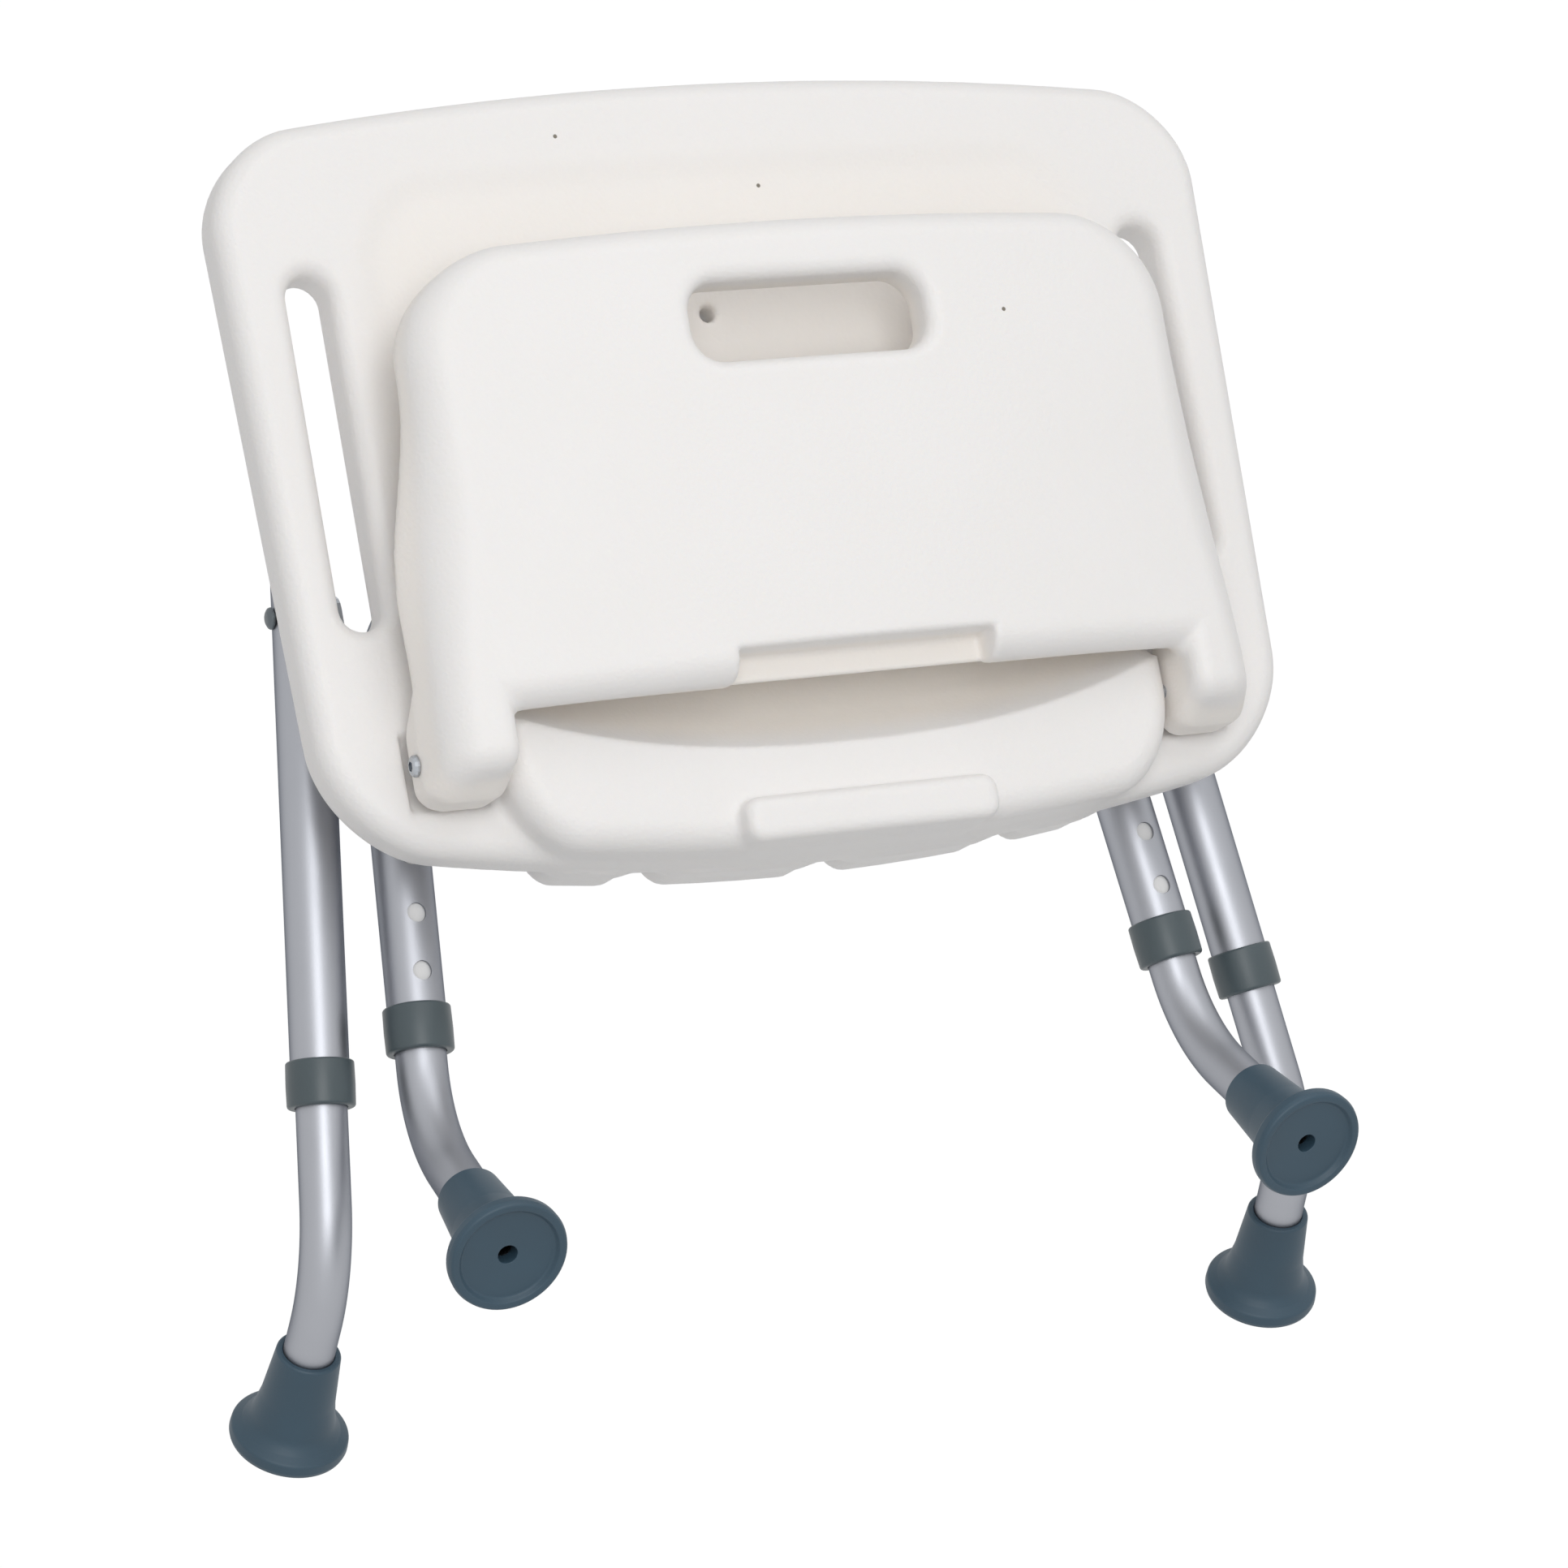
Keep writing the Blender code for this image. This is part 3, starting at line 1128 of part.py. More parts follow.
def bracket_plate_outline():
    """Return the side outline of a rear bracket: a plate that reaches forward to the rivet's eye."""
    top = -SEAT_THICKNESS - CLEARANCE
    eye = BRACKET_EYE_RADIUS
    pivot = REAR_PIVOT
    neck_y = BRACKET_FRONT_Y + 0.2 * (top - pivot.z - eye)
    outline = [Vector((BRACKET_REAR_Y, top - BRACKET_GAUGE)), Vector((BRACKET_REAR_Y, top - BRACKET_REAR_HEIGHT))]
    outline.append(Vector((BRACKET_FRONT_Y - 8.0 * MM, pivot.z - BRACKET_HEEL_DROP)))
    outline.append(Vector((BRACKET_FRONT_Y + 4.0 * MM, pivot.z - BRACKET_HEEL_DROP)))
    outline += arc((pivot.y, pivot.z), eye, -0.5 * math.pi, 0.5 * math.pi, 8)
    outline.append(Vector((neck_y, pivot.z + eye)))
    outline.append(Vector((BRACKET_FRONT_Y, top - BRACKET_GAUGE)))
    return outline


def bracket_screw_places():
    """Yield a name, x and y for each screw of the left and right rear brackets."""
    x = BRACKET_PLATE_X + BRACKET_GAUGE - 0.5 * BRACKET_FLANGE
    inset = 10.0 * MM
    for side, sign in SIDES:
        yield f"{side}_rear", sign * x, BRACKET_REAR_Y + inset
        yield f"{side}_front", sign * x, BRACKET_FRONT_Y - inset


def build_bracket(side, sign, steel, assembly):
    """Build one pressed angle bracket under the seat, bored for a rear leg's rivet."""
    top = -SEAT_THICKNESS - CLEARANCE
    outer = BRACKET_PLATE_X + BRACKET_GAUGE
    plate = prism(bracket_plate_outline(), sign * BRACKET_PLATE_X, sign * outer)
    bracket = link_mesh(f"rear_bracket_{side}", plate, steel, parent=assembly)
    bend = 2.0 * BRACKET_GAUGE
    section = [Vector((outer - BRACKET_FLANGE, top)), Vector((outer - BRACKET_FLANGE, top - BRACKET_GAUGE))]
    section += [Vector((BRACKET_PLATE_X, top - BRACKET_GAUGE)), Vector((BRACKET_PLATE_X, top - 1.6 * bend))]
    section += [Vector((outer, top - 1.6 * bend))]
    section += arc((outer - bend, top - bend), bend, 0.0, 0.5 * math.pi, 3)
    rings = [[Vector((sign * p.x, y, p.y)) for p in section] for y in (BRACKET_REAR_Y, BRACKET_FRONT_Y)]
    fuse(bracket, f"bracket_flange_form_{side}", loft(rings))
    pivot = Vector((sign * BRACKET_PLATE_X, REAR_PIVOT.y, REAR_PIVOT.z))
    reach = X_AXIS * 4.0 * BRACKET_GAUGE
    eye = rod(pivot - reach, pivot + reach, 0.5 * RIVET_DIAMETER + CLEARANCE, 12)
    cut(bracket, f"bracket_rivet_hole_{side}", eye)
    for name, x, y in bracket_screw_places():
        if not name.startswith(side):
            continue
        face = Vector((x, y, top - BRACKET_GAUGE - CLEARANCE))
        hole = 0.5 * CLAMP_SCREW_DIAMETER + CLEARANCE
        reach = Z_AXIS * 4.0 * BRACKET_GAUGE
        cut(bracket, f"bracket_screw_hole_{name}", rod(face - reach, face + reach, hole, 10))
        sizes = (CLAMP_SCREW_DIAMETER, CLAMP_SCREW_HEAD, 2.6 * MM)
        pan_screw(f"bracket_screw_{name}", face, Z_AXIS, BRACKET_SCREW_LENGTH, sizes, steel, assembly)


def cut_bracket_screw_holes(seat):
    """Cut the holes under the seat that the bracket screws bite into."""
    for name, x, y in bracket_screw_places():
        low = Vector((x, y, -SEAT_THICKNESS - 4.0 * MM))
        high = Vector((x, y, -SEAT_THICKNESS + BRACKET_SCREW_LENGTH - BRACKET_GAUGE + CLEARANCE))
        cut(seat, f"seat_screw_hole_{name}", rod(low, high, 0.5 * CLAMP_SCREW_DIAMETER + CLEARANCE, 10))


def build_rear_pivot(side, sign, line, steel, nylon, assembly):
    """Build a rear leg's rivet and the washer between its bracket and its tube."""
    plate_out = BRACKET_PLATE_X + BRACKET_GAUGE + CLEARANCE
    lean = abs(line.down.x) / math.sqrt(1.0 - line.down.x**2)
    tube_half = 0.5 * UPPER_TUBE_DIAMETER / math.sqrt(1.0 - line.down.x**2) + CLEARANCE
    tube_in = REAR_PIVOT.x - tube_half - 0.5 * SPACER_DIAMETER * lean
    dome = REAR_PIVOT.x + tube_half + 0.5 * RIVET_DOME_DIAMETER * lean
    tail = BRACKET_PLATE_X - CLEARANCE
    shank = 0.5 * RIVET_DIAMETER
    pivot = Vector((0.0, REAR_PIVOT.y, REAR_PIVOT.z))
    frame = axis_frame(pivot, X_AXIS * sign)
    profile = [
        (0.0, tail - RIVET_TAIL_HEIGHT),
        (0.5 * RIVET_TAIL_DIAMETER, tail - RIVET_TAIL_HEIGHT),
        (0.5 * RIVET_TAIL_DIAMETER, tail),
        (shank, tail),
        (shank, dome),
        (0.5 * RIVET_DOME_DIAMETER, dome),
        (0.46 * RIVET_DOME_DIAMETER, dome + 0.4 * RIVET_DOME_HEIGHT),
        (0.28 * RIVET_DOME_DIAMETER, dome + 0.85 * RIVET_DOME_HEIGHT),
        (0.0, dome + RIVET_DOME_HEIGHT),
    ]
    link_mesh(f"rear_pivot_rivet_{side}", turned(profile, 12, frame), steel, parent=assembly)
    bore = shank + CLEARANCE
    ring = [(bore, plate_out), (0.5 * SPACER_DIAMETER, plate_out), (0.5 * SPACER_DIAMETER, tube_in), (bore, tube_in)]
    link_mesh(f"rear_pivot_washer_{side}", revolve(ring, 12, frame), nylon, parent=assembly)


def stand_on_origin(assembly):
    """Move the assembly so that the bottom centre of its box is the world origin."""
    bpy.context.view_layer.update()
    graph = bpy.context.evaluated_depsgraph_get()
    low = Vector((math.inf, math.inf, math.inf))
    high = -low
    for obj in assembly.children_recursive:
        if obj.type != "MESH" or obj.hide_render:
            continue
        evaluated = obj.evaluated_get(graph)
        for vertex in evaluated.to_mesh().vertices:
            point = obj.matrix_world @ vertex.co
            low = Vector(map(min, low, point))
            high = Vector(map(max, high, point))
        evaluated.to_mesh_clear()
    assembly.location = -Vector((0.5 * (low.x + high.x), 0.5 * (low.y + high.y), low.z))
    bpy.context.view_layer.update()


def build_chair():
    """Build every piece of the folded chair."""
    clear_scene()
    polyethylene = make_material("blow_moulded_polyethylene", (0.86, 0.84, 0.81), 0.55)
    aluminium = make_material("anodised_aluminium_tube", (0.50, 0.52, 0.56), 0.38, 1.0)
    collar_nylon = make_material("moulded_grey_green_collar", (0.085, 0.12, 0.125), 0.5)
    rubber = make_material("moulded_slate_rubber", (0.05, 0.085, 0.115), 0.6)
    zinc = make_material("zinc_plated_steel", (0.62, 0.63, 0.65), 0.3, 1.0)
    nylon = make_material("natural_nylon", (0.72, 0.71, 0.67), 0.5)
    clamp_plastic = make_material("moulded_grey_clamp", (0.30, 0.31, 0.32), 0.5)

    assembly = add_axis("chair", (0.0, 0.0, 0.0), None)
    seat = build_seat(polyethylene, assembly)
    cut_bracket_screw_holes(seat)
    build_backrest(polyethylene, assembly)
    for side, sign in SIDES:
        face = Vector((sign * (pivot_head_x() + CLEARANCE), BACK_PIVOT_Y, BACK_PIVOT_Z))
        shank = pivot_head_x() + CLEARANCE - BLOCK_HALF_WIDTH + PIVOT_SCREW_BITE
        sizes = (PIVOT_SCREW_DIAMETER, PIVOT_SCREW_HEAD_DIAMETER, PIVOT_SCREW_HEAD_HEIGHT)
        socket_screw(f"backrest_screw_{side}", face, X_AXIS * -sign, shank, sizes, zinc, assembly)

    lines = leg_lines()
    build_clamps(clamp_plastic, zinc, assembly)
    build_front_frame(lines, aluminium, assembly)
    for side, sign in SIDES:
        line = lines[f"rear_{side}"]
        build_bracket(side, sign, zinc, assembly)
        build_rear_tube(side, line, aluminium, assembly)
        build_tube_plug(side, line, collar_nylon, assembly)
        build_rear_pivot(side, sign, line, zinc, nylon, assembly)
    for name, line in lines.items():
        build_collar(name, line, collar_nylon, assembly)
        build_lower_tube(name, line, aluminium, assembly)
        build_snap_button(name, line, zinc, assembly)
        build_foot(name, line, rubber, zinc, assembly)
    stand_on_origin(assembly)


build_chair()
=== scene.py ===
"""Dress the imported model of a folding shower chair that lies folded, and light it for a picture.

The classes work in the seat's own frame, in millimetres: X to the right, Y to the front edge, Z up
from the seat's rim. A Stand turns that into the frame's metres.
"""

from __future__ import annotations

import json
import logging
import math
from collections.abc import Callable, Sequence
from dataclasses import dataclass
from enum import Enum
from functools import cache

import bmesh
import bpy
import numpy as np
from mathutils import Matrix, Vector


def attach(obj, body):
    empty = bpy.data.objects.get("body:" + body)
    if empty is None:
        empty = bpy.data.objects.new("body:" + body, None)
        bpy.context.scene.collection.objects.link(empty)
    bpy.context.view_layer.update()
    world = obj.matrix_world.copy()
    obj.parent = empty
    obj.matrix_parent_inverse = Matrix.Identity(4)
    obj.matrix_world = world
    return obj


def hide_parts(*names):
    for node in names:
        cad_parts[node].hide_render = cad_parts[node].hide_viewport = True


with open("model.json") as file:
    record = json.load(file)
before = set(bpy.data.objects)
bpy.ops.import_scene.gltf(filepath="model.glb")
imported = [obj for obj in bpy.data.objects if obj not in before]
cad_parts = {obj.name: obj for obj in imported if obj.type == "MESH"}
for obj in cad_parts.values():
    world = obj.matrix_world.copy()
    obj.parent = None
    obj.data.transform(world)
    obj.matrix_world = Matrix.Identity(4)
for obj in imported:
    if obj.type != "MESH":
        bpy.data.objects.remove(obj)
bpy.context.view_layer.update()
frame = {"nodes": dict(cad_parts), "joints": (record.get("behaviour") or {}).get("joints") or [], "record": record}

LOG = logging.getLogger("shower_chair")
MM = 0.001
WHITE = (1.0, 1.0, 1.0, 1.0)
Corner = tuple[float, float, float]
Distance = Callable[[np.ndarray, np.ndarray, np.ndarray], np.ndarray]


class Side(Enum):
    """The chair's two sides, with the sign of their X."""

    LEFT = -1.0
    RIGHT = 1.0

    @property
    def word(self) -> str:
        """Return the side's name as the nodes write it."""
        return self.name.lower()


class Pair(Enum):
    """The front and the rear pair of legs."""

    FRONT = "front"
    REAR = "rear"


# Plain helpers


def linear(code: str) -> tuple[float, float, float, float]:
    """Turn an sRGB hex colour to linear RGBA.

    Args:
        code: Six hex digits, such as "EFEDEB".

    Returns:
        The linear colour with an alpha of 1.
    """
    parts = (int(code[i : i + 2], 16) / 255.0 for i in (0, 2, 4))
    red, green, blue = (c / 12.92 if c <= 0.04045 else ((c + 0.055) / 1.055) ** 2.4 for c in parts)
    return red, green, blue, 1.0


def seat_origin() -> Vector:
    """Return where the seat frame's origin lies, from the place of the backrest's hinge."""
    hinge = next(joint for joint in frame["joints"] if joint["name"] == "backrest_fold")
    return Vector(hinge["pos_m"]) - Vector((0.0, Backrest.pivot_y, Backrest.pivot_z)) * MM


def new_object(name: str, data: bpy.types.ID) -> bpy.types.Object:
    """Put a new object in the scene.

    Args:
        name: The object's name.
        data: Its mesh, curve, lamp or camera.

    Returns:
        The object.
    """
    made = bpy.data.objects.new(name, data)
    bpy.context.scene.collection.objects.link(made)
    return made


def add_node(
    tree: bpy.types.NodeTree, kind: str, inputs: dict | None = None, **settings: object
) -> bpy.types.Node:
    """Add a node, set its properties and fill or link its inputs.

    Args:
        tree: The tree that the node joins.
        kind: The node's type name.
        inputs: Values or output sockets by input name or number.
        settings: Properties of the node.

    Returns:
        The new node.
    """
    node = tree.nodes.new(kind)
    for name, value in settings.items():
        setattr(node, name, value)
    for key, value in (inputs or {}).items():
        if isinstance(value, bpy.types.NodeSocket):
            tree.links.new(value, node.inputs[key])
        else:
            node.inputs[key].default_value = value
    return node


# Outlines and meshes


def rounded(corners: Sequence[Corner], step: float = 5.0) -> np.ndarray:
    """Round the corners of a closed outline.

    Args:
        corners: The corners as (a, b, radius), in order.
        step: The largest turn between two points, in degrees.

    Returns:
        The outline's points, one per row.
    """
    least_turn = 1e-4
    points: list[np.ndarray] = []
    count = len(corners)
    for i, (a, b, radius) in enumerate(corners):
        corner = np.array((a, b))
        before = np.array(corners[i - 1][:2]) - corner
        after = np.array(corners[(i + 1) % count][:2]) - corner
        before /= np.linalg.norm(before)
        after /= np.linalg.norm(after)
        turn = math.pi - math.acos(float(np.clip(before @ after, -1.0, 1.0)))
        if radius <= 0.0 or turn < least_turn:
            points.append(corner)
            continue
        bisector = (before + after) / np.linalg.norm(before + after)
        center = corner + bisector * radius / math.cos(turn / 2.0)
        first = corner + before * radius * math.tan(turn / 2.0) - center
        last = corner + after * radius * math.tan(turn / 2.0) - center
        pieces = max(2, math.ceil(math.degrees(turn) / step))
        for k in range(pieces + 1):
            t = turn * k / pieces
            points.append(center + (first * math.sin(turn - t) + last * math.sin(t)) / math.sin(turn))
    return np.array(points)


def rectangle(low: Sequence[float], high: Sequence[float], rear: float, front: float) -> list[Corner]:
    """Return a rectangle's corners with their radii.

    Args:
        low: The corner with the lowest coordinates.
        high: The corner with the highest.
        rear: The radius at the two corners of the low side.
        front: The radius at the two corners of the high side.

    Returns:
        The corners as (a, b, radius), counter-clockwise.
    """
    return [
        (low[0], low[1], rear),
        (high[0], low[1], rear),
        (high[0], high[1], front),
        (low[0], high[1], front),
    ]


def split_long(outline: np.ndarray, longest: float) -> np.ndarray:
    """Add even points along the long edges of a closed outline.

    Args:
        outline: The outline's points.
        longest: About how long an edge stays.

    Returns:
        The outline with the new points.
    """
    result = []
    for point, following in zip(outline, np.roll(outline, -1, axis=0)):
        parts = max(1, round(float(np.linalg.norm(following - point)) / longest))
        result += [point + (following - point) * k / parts for k in range(parts)]
    return np.array(result)


def outline_distance(outline: np.ndarray, x: np.ndarray, y: np.ndarray) -> np.ndarray:
    """Return the signed distance to a closed outline, negative inside it.

    Args:
        outline: The outline's points.
        x: First coordinates.
        y: Second coordinates, which broadcast with the first.

    Returns:
        The distances.
    """
    x, y = np.broadcast_arrays(x, y)
    nearest = np.full(x.shape, np.inf)
    inside = np.zeros(x.shape, bool)
    for (ax, ay), (bx, by) in zip(outline, np.roll(outline, -1, axis=0)):
        ex, ey = bx - ax, by - ay
        along = np.clip(((x - ax) * ex + (y - ay) * ey) / (ex * ex + ey * ey), 0.0, 1.0)
        nearest = np.minimum(nearest, (x - ax - ex * along) ** 2 + (y - ay - ey * along) ** 2)
        if ay != by:
            inside ^= ((ay > y) != (by > y)) & (x < ex * (y - ay) / ey + ax)
    return np.where(inside, -1.0, 1.0) * np.sqrt(nearest)


def meet(a: np.ndarray, b: np.ndarray, radius: float) -> np.ndarray:
    """Intersect two solids and round the edge between them."""
    rounding = np.hypot(np.maximum(radius + a, 0.0), np.maximum(radius + b, 0.0))
    return np.minimum(-radius, np.maximum(a, b)) + rounding


def join(a: np.ndarray, b: np.ndarray, radius: float) -> np.ndarray:
    """Unite two solids with a fillet between them."""
    return -meet(-a, -b, radius)


def ease(t: np.ndarray) -> np.ndarray:
    """Return a smooth step from 0 to 1 as t goes from 0 to 1."""
    t = np.clip(t, 0.0, 1.0)
    return t * t * (3.0 - 2.0 * t)


def half_wave(t: np.ndarray) -> np.ndarray:
    """Return half a cosine wave from 0 to 1 as t goes from 0 to 1."""
    return 0.5 - 0.5 * np.cos(math.pi * np.clip(t, 0.0, 1.0))


def skin(field: np.ndarray, low: np.ndarray, step: float) -> tuple[np.ndarray, np.ndarray]:
    """Wrap the zero level of a field of distances in quads, one vertex per crossed cell.

    Args:
        field: Distances on a regular grid, positive all round its border.
        low: The grid's lowest corner.
        step: The grid's spacing.

    Returns:
        The vertices and the quads, which face outwards.
    """
    cells = tuple(n - 1 for n in field.shape)
    total = np.zeros((*cells, 3))
    count = np.zeros(cells)
    quads = []
    for axis in range(3):
        a = np.moveaxis(field, axis, 0)[:-1]
        b = np.moveaxis(field, axis, 0)[1:]
        crossed = np.argwhere((a < 0.0) != (b < 0.0))
        start = a[tuple(crossed.T)]
        stop = b[tuple(crossed.T)]
        index = restore_axis(crossed, axis)
        point = index.astype(float)
        point[:, axis] += start / (start - stop)
        u, v = (axis + 1) % 3, (axis + 2) % 3
        ring = []
        for du, dv in ((0, 0), (-1, 0), (-1, -1), (0, -1)):
            cell = index.copy()
            cell[:, u] += du
            cell[:, v] += dv
            key = tuple(cell.T)
            np.add.at(total, key, point)
            np.add.at(count, key, 1.0)
            ring.append(np.ravel_multi_index(key, cells))
        quad = np.stack(ring, axis=1)
        quads.append(np.where((start < 0.0)[:, None], quad, quad[:, ::-1]))
    used = np.flatnonzero(count.ravel())
    number = np.full(count.size, -1)
    number[used] = np.arange(used.size)
    places = total.reshape(-1, 3)[used] / count.ravel()[used, None]
    return low + places * step, number[np.concatenate(quads)]


def restore_axis(index: np.ndarray, axis: int) -> np.ndarray:
    """Put an index that moveaxis brought to the front back in its place.

    Args:
        index: Grid indices, one per row, with the moved axis first.
        axis: The moved axis.

    Returns:
        The indices in the grid's own order.
    """
    order = [i for i in range(3) if i != axis]
    result = np.empty_like(index)
    result[:, axis] = index[:, 0]
    result[:, order[0]] = index[:, 1]
    result[:, order[1]] = index[:, 2]
    return result


def settle(points: np.ndarray, distance: Distance, rounds: int = 2) -> np.ndarray:
    """Move points onto the zero level of a distance along its slope.

    Args:
        points: The points, one per row.
        distance: The function of distance.
        rounds: How many steps each point takes.

    Returns:
        The moved points.
    """
    probe = 0.05
    least_slope = 0.2
    longest_step = 1.0
    for _ in range(rounds):
        value = distance(*points.T)
        slope = np.empty_like(points)
        for axis in range(3):
            shifted = points.copy()
            shifted[:, axis] += probe
            slope[:, axis] = (distance(*shifted.T) - value) / probe
        size = np.maximum((slope**2).sum(axis=1), least_slope)
        points = points - slope * np.clip(value / size, -longest_step, longest_step)[:, None]
    return points


@dataclass(frozen=True)
class Stand:
    """Where the seat's frame stands in the model's frame."""

    origin: Vector

    def place(self, point: Sequence[float]) -> Vector:
        """Turn a point in millimetres of the seat's frame to metres of the model's frame."""
        return self.origin + Vector(point) * MM

    def mesh(
        self, name: str, points: np.ndarray, faces: Sequence, finish: bpy.types.Material
    ) -> bpy.types.Object:
        """Make an object of points in millimetres and faces.

        Args:
            name: The object's name.
            points: Its vertices in the seat's frame.
            faces: The vertices of each face.
            finish: The material.

        Returns:
            The new object, smooth shaded, at the origin.
        """
        data = bpy.data.meshes.new(name)
        data.from_pydata([self.place(p) for p in points.tolist()], [], [list(face) for face in faces])
        data.shade_smooth()
        data.materials.append(finish)
        return new_object(name, data)


def report(piece: bpy.types.Object, body: str, nodes: Sequence[str]) -> bpy.types.Object:
    """Let a finished piece ride on its body and stand for its CAD nodes, and log it.

    Args:
        piece: The finished piece.
        body: The CAD body that it moves with.
        nodes: The CAD nodes that it replaces.

    Returns:
        The same piece.
    """
    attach(piece, body)
    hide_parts(*nodes)
    LOG.info("%s rides on %s, %d faces", piece.name, body, len(piece.data.polygons))
    return piece


def lathe(profile: np.ndarray, sides: int, spot: Matrix) -> tuple[np.ndarray, list[list[int]]]:
    """Turn a closed (radius, height) profile round a frame's Z axis.

    Args:
        profile: The profile's points, of which only neighbours lie on the axis.
        sides: How many steps make the turn.
        spot: The frame, in millimetres.

    Returns:
        The points and the faces.
    """
    count = len(profile)
    points = []
    for k in range(sides):
        angle = 2.0 * math.pi * k / sides
        for radius, height in profile:
            points.append(spot @ Vector((radius * math.cos(angle), radius * math.sin(angle), height)))
    faces = []
    for k in range(sides):
        for i in range(count):
            here, there = k * count, (k + 1) % sides * count
            faces.append([here + i, there + i, there + (i + 1) % count, here + (i + 1) % count])
    return np.array([tuple(p) for p in points]), faces


def outward(piece: bpy.types.Object) -> None:
    """Weld a closed mesh's points on its axis and point its faces outwards.

    Args:
        piece: The object with the mesh.
    """
    weld = 0.001 * MM
    bm = bmesh.new()
    bm.from_mesh(piece.data)
    bmesh.ops.remove_doubles(bm, verts=bm.verts, dist=weld)
    bmesh.ops.recalc_face_normals(bm, faces=bm.faces)
    bm.to_mesh(piece.data)
    bm.free()


def axis_frame(origin: Vector, axis: Vector) -> Matrix:
    """Return the frame of a turned piece.

    Args:
        origin: Where it stands.
        axis: Where its Z points.

    Returns:
        The matrix.
    """
    turned = axis.to_track_quat("Z", "Y").to_matrix().to_4x4()
    turned.translation = origin
    return turned


def row_frame(origin: Vector, axis: Vector, run: Vector) -> Matrix:
    """Return the frame of a row of drills.

    Args:
        origin: Where the row starts.
        axis: Where the drills point, along Z.
        run: Where the row goes, along X and square to the axis.

    Returns:
        The matrix.
    """
    turned = Matrix((run, axis.cross(run), axis)).transposed().to_4x4()
    turned.translation = origin
    return turned


def sharpen(piece: bpy.types.Object, degrees: float) -> None:
    """Shade a piece smooth but for the edges that turn by more than an angle."""
    piece.data.shade_smooth()
    piece.data.set_sharp_from_angle(angle=math.radians(degrees))


# Finishes


@dataclass(frozen=True)
class Finish:
    """A material of one colour with fine noise in its colour, roughness and surface.

    The real grain of moulded and drawn pieces is often finer than a tenth of a millimetre. It is drawn
    at half a millimetre and more, so that it shows.
    """

    name: str
    color: str
    dark: str
    roughness: float
    metallic: float = 0.0
    grain_mm: float = 1.0
    bump_mm: float = 0.02
    mottle_mm: float = 30.0
    roughness_spread: float = 0.05

    def pattern(self, tree: bpy.types.NodeTree) -> bpy.types.NodeSocket:
        """Return the height of the surface's fine grain.

        Args:
            tree: The material's tree.

        Returns:
            The socket with the height.
        """
        spot = add_node(tree, "ShaderNodeTexCoord").outputs["Object"]
        scale = 1.0 / (self.grain_mm * MM)
        noise = add_node(tree, "ShaderNodeTexNoise", {"Vector": spot, "Scale": scale, "Detail": 3.0})
        return noise.outputs["Fac"]

    def build(self) -> bpy.types.Material:
        """Build the material.

        Returns:
            The material, on Object coordinates.
        """
        made = bpy.data.materials.new(self.name)
        made.use_nodes = True
        tree = made.node_tree
        shader = tree.nodes["Principled BSDF"]
        spot = add_node(tree, "ShaderNodeTexCoord").outputs["Object"]
        scale = 1.0 / (self.mottle_mm * MM)
        noise = add_node(tree, "ShaderNodeTexNoise", {"Vector": spot, "Scale": scale, "Detail": 4.0})
        mottle = noise.outputs["Fac"]
        shades = {0: mottle, 6: linear(self.dark), 7: linear(self.color)}
        tone = add_node(tree, "ShaderNodeMix", shades, data_type="RGBA")
        tree.links.new(tone.outputs[2], shader.inputs["Base Color"])
        low, high = self.roughness - self.roughness_spread, self.roughness + self.roughness_spread
        rough = add_node(tree, "ShaderNodeMapRange", {"Value": mottle, "To Min": low, "To Max": high})
        tree.links.new(rough.outputs["Result"], shader.inputs["Roughness"])
        shader.inputs["Metallic"].default_value = self.metallic
        relief = {"Height": self.pattern(tree), "Distance": self.bump_mm * MM, "Strength": 1.0}
        bump = add_node(tree, "ShaderNodeBump", relief)
        tree.links.new(bump.outputs["Normal"], shader.inputs["Normal"])
        self.add_own(tree, shader)
        return made

    def add_own(self, tree: bpy.types.NodeTree, shader: bpy.types.Node) -> None:
        """Add what only this finish has."""


